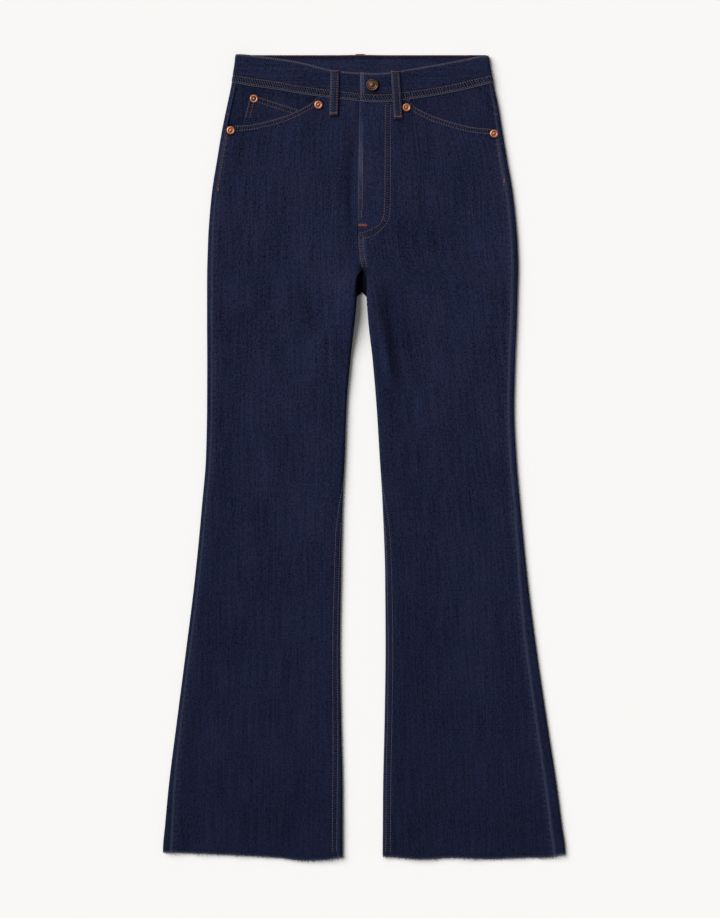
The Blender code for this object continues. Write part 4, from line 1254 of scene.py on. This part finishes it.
def band_relief(grid, kinds):
    """The roping of the waistband between its two lower rows, and the light puckers at its top edge."""
    settings = bpy.context.scene.jeans_cloth
    up = reach(grid, 0)
    height = up[-1]
    around = reach(grid, 1)[:1] + 0 * up
    from_top = height - up
    slanted = around + 0.55 * (up - 6)
    beat = slanted * math.tau / 3.3 + 1.2 * np.sin(around / 17) + 0.8 * np.sin(around / 7.3 + 1)
    between_rows = smooth((up - 1.2) / 2) * (1 - smooth((up - 9.2) / 2.2))
    roping = np.sin(beat) * between_rows * (0.65 + 0.35 * np.sin(around / 29 + 0.6 * up))
    beside_rows = sum(bell((up - row) / 1.5) for row in BAND_SEAM_ROWS)
    top_beat = np.sin(around * math.tau / 4.1 + 1.5 * np.sin(around / 23))
    lift = settings.pucker * (
        0.5 * roping - 0.35 * beside_rows - 0.3 * bell((from_top - 1.8) / 1.0)
        + 0.22 * top_beat * bell((from_top - 2) / 3)
    )
    lift += 0.3 * waves(around, up * 1.6, 26, 21) * smooth(up / 4) * smooth(from_top / 4)
    lift += 0.25 * bell((up - 5.5) / 2.5)
    # wear and painted highlight at the band's lower and upper edges, with pale beats along the top
    fade = 0.85 * bell(up / 0.8) + bell(from_top / 1.2) * (0.7 + 0.2 * top_beat)
    # painted highlight on the band's lapped end
    fade += 0.34 * (1 - smooth((around - 5) / 2)) + 0.3 * bell(around / 1.3)
    # painted shade in the dents beside the rows; the ribs between them get painted light and shade in the
    # finish
    deep = 0.3 * beside_rows
    roped = 0.75 * between_rows + 0.3 * bell((from_top - 3) / 1.6)
    on_back = (kinds == 2)[None, :] + 0 * up
    lift = np.where(on_back > 0, np.clip(lift - 0.3, -0.5, 0), lift)
    ends = smooth(np.minimum(around, around[:, -1:] - around) / 3 + 0.4)
    lift = np.where(grid.nz < -0.3, np.minimum(lift, 0), lift)
    tones = {"fade": fade, "deep": deep, "roped": roped, "along": around + 0.5 * up}
    return raised(grid, lift * ends), tones


# Pieces


def front_piece(side, word):
    grid, tones = front_relief(side, front_grid(side))
    obj = cloth_piece(f"front_{word}", grid, raised(grid, -DENIM), tones)
    pieces = [*front_sewing(side, word, grid, obj), hem_fringe(f"front_{word}", grid)]


def front_sewing(side, word, grid, obj):
    """The rows beside the seams and the pocket mouth, the fly's rows, and the tacks at their ends."""
    inseam = Sewing()
    for distance in INSEAM_ROWS:
        inset = distance - rolled(grid.y[:, -1])
        points, normals = inset_path(grid, inset, "last")
        shown = (inset > 0.6) & (points[:, 1] > 6)
        inseam.row((points[shown], normals[shown]))
    sewing = Sewing()
    sewing.rows(grid, (1.9,), "first", 905, 990)
    mouth = part_of(grid, slice(-HIP_ROWS, None))
    outward = (-400, -POCKET_INNER - 1) if side == RIGHT else (POCKET_INNER + 1, 400)
    sewing.rows(mouth, MOUTH_ROWS, "top", *outward, axis=0)
    if side == LEFT:
        sewing.rows(grid, CENTRE_ROWS, "last", CROTCH_Y + 2, 842)
        for line in (FLY_ROW, FLY_ROW_OUT, ZIP_ROW):
            sewing.row(dropped(obj, fine_line(line)), rise=0.3)
    return [
        sewing.made(f"front_{word}_sewing"),
        inseam.made(f"front_{word}_inseam_sewing", "grey_thread"),
    ]


def hem_fringe(name, grid):
    """Short frayed threads that stand out of the raw hem, uneven and a little curled."""
    rng = np.random.default_rng(sum(map(ord, name)))
    bm = bmesh.new()
    edge, normals = points_of(grid)[0], normals_of(grid)[0]
    gone = run_along(edge)
    for at in np.arange(0.4, gone[-1], 0.8):
        place, normal = (read_at(at, gone, source) for source in (edge, normals))
        length = rng.uniform(1.2, 3.2) * (1.9 if rng.random() < 0.12 else 1)
        heading = Vector((rng.normal(0, 0.45), -1, rng.normal(0, 0.18))).normalized()
        root = place - normal * rng.uniform(0.15, DENIM - 0.15) + np.array((0, 0.4, 0))
        middle = Vector(root) + heading * length / 2
        middle.z = max(middle.z, 0.25 + length / 2 * abs(heading.z))
        turn = Vector((0, 0, 1)).rotation_difference(heading).to_matrix().to_4x4()
        bmesh.ops.create_cone(
            bm, cap_ends=True, segments=4, radius1=0.24 * MM, radius2=0.1 * MM, depth=length * MM,
            matrix=Matrix.Translation(to_frame(np.array(middle))) @ turn,
        )
    obj = piece(f"hem_fringe_{name}", bm, fringe_finish())
    return obj


@functools.cache
def fringe_finish():
    """Loose warp and weft ends: dark dyed threads among undyed pale ones."""
    settings = bpy.context.scene.jeans_cloth
    ends = Finish("frayed_ends", Specular_IOR_Level=0.1)
    kind = ends.grain(ends.place(), (420, 30, 300), 0)
    undyed = ends.clamped((kind - 0.55) * 6)
    colour = ends.mix(undyed, rgba(settings.indigo, 1.3), rgba(settings.reverse, 0.8))
    return ends.done(Base_Color=colour, Roughness=0.85 + 0.05 * kind)


def back_piece(side, word):
    base = back_grid(side)
    grid, fade = back_relief(side, base, reach_back(base, 0))
    columns = np.arange(base.x.shape[1])
    tops = np.concatenate([np.linspace(0, BODY_Y, LEG_ROWS)[1:], base.y[LEG_ROWS:, 0]])
    left_out = (tops > CROTCH_Y)[:, None] & (columns[:-1] < SEAT_START)  # no fork above the crotch
    # painted shadow: the fork's cloth between the legs is painted near black
    fork = 0.95 * smooth((base.y - FORK_Y + 30) / 20) * (columns < SEAT_START - 1)
    tones = {"fade": fade * (1 - fork), "deep": fork, "reverse": (0 * fade, 1 - fork)}
    obj = cloth_piece(f"back_{word}", grid, raised(grid, -DENIM), tones, left_out)
    pieces = [back_sewing(side, word, grid), hem_fringe(f"back_{word}", grid)]
    whole = part_of(grid, columns=slice(SEAT_START, None))


def back_sewing(side, word, grid):
    sewing = Sewing()
    seat = part_of(grid, columns=slice(SEAT_START, None))
    sewing.rows(part_of(seat, slice(-HIP_ROWS // 2, None)), (4.7,), "top")
    if side == LEFT:
        sewing.rows(seat, CENTRE_ROWS, "first", CROTCH_Y + 6, 975)
    return sewing.made(f"back_{word}_sewing")


def yoke_piece(side, word):
    base = yoke_grid(side)
    grid, fade = back_relief(side, base, reach(base, 0))
    obj = cloth_piece(f"yoke_{word}", grid, raised(grid, -DENIM), {"fade": fade, "deep": 0 * fade})
    sewing = Sewing()
    sewing.rows(turned_grid(grid, up=True), (4.5,), "top")
    if side == LEFT:
        sewing.rows(grid, CENTRE_ROWS, "first")
    threads = sewing.made(f"yoke_{word}_sewing")


def waistband_piece():
    base, kinds = band_grid()
    grid, tones = band_relief(base, kinds)
    inside = raised(base, -BAND)
    up, around = reach(inside, 0), reach(base, 1)
    inside = raised(inside, 0.18 * waves(around, up * 2, 18, 31) - 0.1)
    plain = 0 * up
    tones["fade"] = tones["fade"], plain + 0.03
    # painted shade on the inner face a little below its top edge
    tones["deep"] = tones["deep"], 0.5 * bell((up[-1] - up - 3.5) / 2.5)
    tones["reverse"] = plain, plain
    obj = cloth_piece("waistband", grid, inside, tones, turned_weave=True)
    shown = (kinds != 3) | (base.x[0] < BAND_END - 2)  # all but the end that is lapped over
    trimmed = part_of(grid, columns=shown)
    sewing = Sewing()
    sewing.rows(turned_grid(trimmed, up=True), BAND_SEAM_ROWS, "top", pitch=3.2)
    sewing.rows(trimmed, (1.8,), "top", pitch=3.2)
    sewing.rows(part_of(trimmed, slice(2, -1)), (1.8,), "first")
    lining = part_of(inside, columns=kinds == 2)
    lining = lining._replace(nx=-lining.nx, nz=-lining.nz)
    edge = Sewing()
    edge.rows(lining, (1.0,), "top", pitch=3.2, length=2.7, width=1.45, rise=0.3)
    threads = sewing.made("waistband_sewing")
    edged = edge.made("waistband_edge_sewing", "orange_thread")


POCKET_SWELL = 1.0


def pocket_fullness(side, grid):
    """How far what lies in a pocket's mouth swells up to the front's own height, away from the mouth."""
    past_mouth = smooth((grid.y - MOUTHS[side](grid.x) - 1) / 10)
    at_waist = smooth((grid.y - waist_seam(grid.x) + 8) / 7)
    return POCKET_SWELL * past_mouth + (FACING_DEPTH[side] - POCKET_SWELL) * at_waist


def pocket_pieces():
    for side, word in SIDES:
        grid = facing_grid(side)
        grid = raised(grid, pocket_fullness(side, grid) + 0.12 * waves(grid.x, grid.y, 20, 41 + side))
        # painted shade: the facing is a shade darker all over and darker round the rivets
        obj = cloth_piece(f"pocket_facing_{word}", grid, raised(grid, -LIGHT_DENIM), {
            "fade": 0 * grid.x, "deep": np.maximum(0.1, 0.8 * rivet_rings(grid.x, grid.y)),
        })
    grid = coin_grid()
    from_top = reach_back(grid, 0)
    from_side = reach(grid, 1)
    lift = sewn(from_top, grid.x, COIN_ROWS, 0.8, 3)
    lift += 0.35 * bell(from_top / 3) + 0.25 * bell(from_side / 3)
    # wear and painted highlight on the edges
    fade = 0.3 * bell(from_top / 0.9) + 0.3 * bell(from_side / 0.9)
    roped = 0.45 * np.maximum(bell((from_top - 4.2) / 2.8), bell((from_side - 4.2) / 2.8))
    along = np.where(from_side < 7, grid.y, grid.x)
    # painted shade round the rivets, and the ribs on which the finish paints light and shade
    tones = {"fade": fade, "deep": 0.8 * rivet_rings(grid.x, grid.y), "roped": roped, "along": along}
    lift = lift * smooth((grid.y - MOUTHS[RIGHT](grid.x) + 1) / 4) + pocket_fullness(RIGHT, grid)
    grid = raised(grid, lift + 0.15)
    obj = cloth_piece("coin_pocket", grid, raised(grid, -LIGHT_DENIM), tones)
    sewing = Sewing()
    sewing.rows(grid, COIN_ROWS, "top")
    sewing.rows(grid, COIN_ROWS, "first", 997, 1032)
    threads = sewing.made("coin_pocket_sewing")


def shield_piece():
    grid = shield_grid()
    # painted shade: the shield is a shade darker all over
    obj = cloth_piece("fly_shield", grid, grid._replace(z=grid.z - DENIM), {
        "fade": 0 * grid.x, "deep": 0.2 + 0 * grid.x,
    })


def loop_piece(loop):
    under = loop_grid(loop)
    across = reach(under, 1)
    middle = across[:, -1:] / 2
    along = reach(under, 0)
    crown = 0.35 * bell((across - middle) / 2.6) - 0.5 * bell((middle - np.abs(across - middle)) / 1.0)
    dents = -0.3 * bell((middle - np.abs(across - middle) - 2.2) / 0.9)
    crown = crown + dents + 0.12 * np.sin(along * math.tau / 4.2)
    grid = under._replace(z=under.z + LOOP + crown)
    # wear and painted highlight on the edges, brighter on the -X edge towards the light
    fade = 0.1 + 0.55 * bell(across / 1.2) + 0.25 * bell((2 * middle - across) / 1.0)
    roped = 0.55 * bell((middle - np.abs(across - middle) - 2.6) / 1.3)
    # painted shade: the whole loop is a shade darker, and the finish paints the ribs' light and shade
    tones = {"fade": fade, "deep": 0.15 + 0 * fade, "roped": roped, "along": grid.y}
    obj = cloth_piece(loop.name, grid, under, tones)
    sewing = Sewing()
    for edge in ("first", "last"):
        sewing.rows(grid, (2.2,), edge, loop.low_y + 3, loop.top_y - 3, width=0.75)
    threads = sewing.made(f"{loop.name}_sewing")
    tacks = Sewing()
    for row, width in ((3, 1.6), (-3, 1.1)):
        points = points_of(grid)[row]
        tacks.tack(points.mean(0), points[-1] - points[0], (0, 0, 1), LOOP_WIDTH - 1, width)
    tacked = tacks.made(f"{loop.name}_tacks", "orange_thread")


def back_loop_piece():
    x = BACK_LOOP_X + np.linspace(-0.5, 0.5, 14) * LOOP_WIDTH
    y = np.linspace(BACK_LOOP_LOW, BACK_LOOP_TOP, 50)[:, None]
    outer = Grid(x + 0 * y, y + 0 * x, 0 * x + 0 * y, 0 * x + 0 * y, -1 + 0 * x + 0 * y)
    across = reach(outer, 1)
    # wear and painted highlight along both edges
    fade = 0.4 * bell(across / 0.9) + 0.4 * bell((LOOP_WIDTH - across) / 0.9)
    inner = outer._replace(z=outer.z + LOOP)
    obj = cloth_piece("belt_loop_back", outer, inner, {
        "fade": fade, "deep": 0 * fade, "reverse": (0 * fade, 0 * fade),
    })
    sewing = Sewing()
    for edge in ("first", "last"):
        sewing.rows(outer, (2.2,), edge, BACK_LOOP_LOW + 3, BACK_LOOP_TOP - 3, width=0.75, rise=-0.1)
    threads = sewing.made("belt_loop_back_sewing")


# Whose front it is on, its place and direction, and its length, width and rise.
FRONT_TACKS = (
    ("left", -1.8, 853.2, (1, 0, 0), 12, 4.4, 0.5),
    ("right", -196.7, 902, (0, 1, 0), 5.5, 2.0, 0.4),
    ("left", 189.3, 913, (0, 1, 0), 5.5, 2.0, 0.4),
)


def bar_tacks():
    """The orange tacks that close the fly, the outseams' rows and the back belt loop's top."""
    tacks = Sewing()
    for word, x, y, along, *size in FRONT_TACKS:
        (place,), (normal,) = dropped(bpy.data.objects[f"front_{word}_cloth"], [(x, y)])
        tacks.tack(place, along, normal, *size)
    for offset in (0, 1.4):
        top = (BACK_LOOP_X, BACK_LOOP_TOP - 1.2 - offset, LOOP + 0.25)
        tacks.tack(top, (1, 0, 0), (0, 0, 1), LOOP_WIDTH + 2, 1.6, 0.2)
    tacks.made("bar_tacks", "orange_thread")


def turned_piece(name, node, profile, steps, material, details=None):
    """A piece turned from a profile of (radius, height) about its node's middle, standing on its base."""
    low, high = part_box(node)
    bm = bmesh.new()
    verts = [bm.verts.new(Vector((r, 0, z)) * MM) for r, z in profile]
    edges = [bm.edges.new(pair) for pair in zip(verts, verts[1:])]
    bmesh.ops.spin(
        bm, geom=verts + edges, cent=(0, 0, 0), axis=(0, 0, 1), angle=math.tau, steps=steps, use_merge=True
    )
    bmesh.ops.remove_doubles(bm, verts=bm.verts, dist=1e-6)
    bmesh.ops.recalc_face_normals(bm, faces=bm.faces)
    if details:
        details(bm)
    base = Vector(((low.x + high.x) / 2, (low.y + high.y) / 2, low.z))
    bmesh.ops.transform(bm, matrix=Matrix.Translation(base), verts=bm.verts)
    obj = piece(name, bm, material)
    obj.data.set_sharp_from_angle(angle=math.radians(50))
    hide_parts(node)
    return obj


BUTTON_PROFILE = (
    (0, 0), (3.4, 0), (3.5, 0.2), (3.5, 1.0), (6.6, 1.05), (7.6, 1.3), (8.0, 1.8), (8.05, 2.3), (7.9, 2.8),
    (7.5, 3.15), (7.0, 3.25), (6.6, 3.1), (6.3, 2.75), (6.0, 2.6), (5.2, 2.65), (5.0, 2.85), (4.6, 2.9),
    (4.3, 2.7), (3.4, 2.75), (2.6, 2.95), (2.2, 3.3), (1.4, 3.5), (0, 3.55),
)
RIVET_PROFILE = (
    (0, 0), (5.5, 0), (5.7, 0.2), (5.65, 0.5), (5.3, 0.95), (4.7, 1.2), (4.0, 1.25), (3.4, 1.1), (3.0, 0.6),
    (2.6, 0.3), (2.1, 0.25), (1.8, 0.5), (1.6, 1.3), (1.2, 1.7), (0.6, 1.85), (0, 1.85),
)


def button_beads(bm):
    """A ring of small plain beads on the button's face."""
    count = 22
    for k in range(count):
        turn = k * math.tau / count
        place = Vector((5.6 * math.cos(turn), 5.6 * math.sin(turn), 2.7)) * MM
        bmesh.ops.create_uvsphere(
            bm, u_segments=6, v_segments=4, radius=0.32 * MM, matrix=Matrix.Translation(place)
        )


def metal_pieces():
    colours = bpy.context.scene.jeans_metal
    brass = metal_finish("antique_brass", colours.brass, colours.tarnish, 0.85)
    copper = metal_finish("copper", colours.copper, colours.tarnish, 0.45)
    turned_piece(
        "button_shank_and_face", "waist_button", BUTTON_PROFILE, 48, brass, button_beads
    )
    for node in RIVETS:
        turned_piece(f"{node}_metal", node, RIVET_PROFILE, 36, copper)


# Stage


FLOOR_SIZE = 60
FLOOR_DROP = 0.0002  # keeps the floor's face just under the cloth's


def make_stage():
    """A plain pale floor, soft light from the upper left, and a camera that looks straight down."""
    settings = bpy.context.scene.jeans_stage
    scene = bpy.context.scene
    bm = bmesh.new()
    bmesh.ops.create_grid(bm, x_segments=1, y_segments=1, size=FLOOR_SIZE / 2)
    bmesh.ops.translate(bm, verts=bm.verts, vec=(0, 0, -FLOOR_DROP))
    mesh_object("floor", bm, floor_finish())
    sun = bpy.data.lights.new("window", "SUN")
    sun.energy, sun.angle = settings.window, settings.softness
    beam = Vector((0.66, -0.48, -0.7))
    in_scene("window", sun).rotation_euler = beam.to_track_quat("-Z", "Y").to_euler()
    world = bpy.data.worlds.new("room")
    world.use_nodes = True
    sky = world.node_tree.nodes["Background"]
    sky.inputs["Color"].default_value = (1, 1, 1, 1)
    sky.inputs["Strength"].default_value = settings.room
    scene.world = world
    scene.view_settings.view_transform = "Standard"
    camera = bpy.data.cameras.new("camera")
    camera.lens = settings.lens
    low, high = (Vector(corner) for corner in CAD_BOX)
    height = (high.y - low.y) * settings.margin
    distance = height / 2 / math.tan(math.atan(camera.sensor_width / 2 / camera.lens))
    scene.camera = in_scene("camera", camera)
    scene.camera.location = (low.x + high.x) / 2 + settings.aim[0], settings.aim[1], distance


# Settings, operators and the sidebar


def tint(name, description, default):
    """A colour setting."""
    return FloatVectorProperty(name=name, description=description, subtype="COLOR", default=default)


class JeansCloth(bpy.types.PropertyGroup):
    crease: FloatProperty(name="Crease depth", description="Share of the hand-laid folds", default=1.0)
    pucker: FloatProperty(
        name="Pucker depth", description="Share of the puckers along the seams", default=1.0
    )
    indigo: tint("Indigo", "The cloth's dyed face", (0.0108, 0.0146, 0.0395))
    blush: tint("Blush", "The dye's warmer patches", (0.021, 0.0145, 0.034))
    # The pale colour serves both wear at the edges and painted highlights on edges, ridges and rib crests.
    pale: tint("Rubbed", "The face where it is rubbed at edges", (0.085, 0.095, 0.16))
    reverse: tint("Reverse", "The paler wrong side", (0.16, 0.18, 0.22))


class JeansSewing(bpy.types.PropertyGroup):
    thread: tint("Topstitching", "Tobacco thread", (0.19, 0.1, 0.083))
    inseam: tint("Inseams", "Greyer thread", (0.125, 0.1, 0.15))
    tack: tint("Bar tacks", "Orange thread", (0.23, 0.07, 0.035))


class JeansMetal(bpy.types.PropertyGroup):
    copper: tint("Copper", "The rivets", (0.56, 0.235, 0.135))
    brass: tint("Brass", "The button", (0.16, 0.085, 0.055))
    tarnish: tint("Tarnish", "Where the metal has darkened", (0.05, 0.025, 0.02))


class JeansStage(bpy.types.PropertyGroup):
    floor: tint("Floor", "The pale board", (0.94, 0.932, 0.915))
    window: FloatProperty(
        name="Window", description="Strength of the light from the upper left", default=3.95
    )
    softness: FloatProperty(
        name="Softness", description="How wide the window looks", subtype="ANGLE", default=math.radians(46)
    )
    room: FloatProperty(name="Room", description="Strength of the light from all round", default=0.19)
    lens: FloatProperty(name="Lens", description="Focal length", subtype="DISTANCE_CAMERA", default=85.0)
    margin: FloatProperty(name="Margin", description="Picture height over the garment's", default=1.1402)
    aim: FloatVectorProperty(
        name="Aim", description="Point below the camera", size=2, subtype="TRANSLATION",
        default=(-0.0054, -0.0032),
    )


def operator(label, doc, action):
    """An operator class that makes one group of pieces."""
    name = label.lower().replace(" ", "_")

    def execute(self, context):
        action()
        return {"FINISHED"}

    body = {"bl_idname": f"jeans.{name}", "bl_label": label, "__doc__": doc, "execute": execute}
    body["bl_options"] = {"REGISTER", "UNDO"}
    return type(f"JEANS_OT_{name}", (bpy.types.Operator,), body)


def for_sides(make):
    def action():
        for side, word in SIDES:
            make(side, word)

    return action


def belt_loops():
    for loop in FRONT_LOOPS:
        loop_piece(loop)
    back_loop_piece()


OPERATORS = (
    operator("Fronts", "Make both fronts with their sewing and frayed hems", for_sides(front_piece)),
    operator("Backs", "Make both backs with their sewing and frayed hems", for_sides(back_piece)),
    operator("Yokes", "Make both back yokes", for_sides(yoke_piece)),
    operator("Waistband", "Make the waistband with its roped seam", waistband_piece),
    operator("Pockets", "Make the pocket facings and the coin pocket", pocket_pieces),
    operator("Fly shield", "Make the underlap behind the fly", shield_piece),
    operator("Belt loops", "Make the two front belt loops and the back one", belt_loops),
    operator("Bar tacks", "Make the orange tacks at the seams' ends", bar_tacks),
    operator("Metal", "Make the button and the rivets", metal_pieces),
    operator("Stage", "Make the floor, the light and the camera", make_stage),
)
GROUPS = {
    "jeans_cloth": JeansCloth,
    "jeans_sewing": JeansSewing,
    "jeans_metal": JeansMetal,
    "jeans_stage": JeansStage,
}


class JEANS_PT_sidebar(bpy.types.Panel):
    """The settings and the makers of the jeans"""

    bl_label = "Jeans"
    bl_space_type = "VIEW_3D"
    bl_region_type = "UI"
    bl_category = "Jeans"

    def draw(self, context):
        for name, group in GROUPS.items():
            settings = getattr(context.scene, name)
            for field in group.__annotations__:
                self.layout.prop(settings, field)
        for made in OPERATORS:
            self.layout.operator(made.bl_idname)


CLASSES = (*GROUPS.values(), *OPERATORS, JEANS_PT_sidebar)


def register():
    for made in CLASSES:
        bpy.utils.register_class(made)
    for name, group in GROUPS.items():
        setattr(bpy.types.Scene, name, PointerProperty(type=group))


def unregister():
    for name in GROUPS:
        delattr(bpy.types.Scene, name)
    for made in reversed(CLASSES):
        bpy.utils.unregister_class(made)


def main():
    for leftover in ("Cube", "Light", "Camera"):
        if leftover in bpy.data.objects:
            bpy.data.objects.remove(bpy.data.objects[leftover])
    register()
    for made in OPERATORS:
        getattr(bpy.ops.jeans, made.bl_idname.split(".")[1])()


if __name__ == "__main__":
    main()
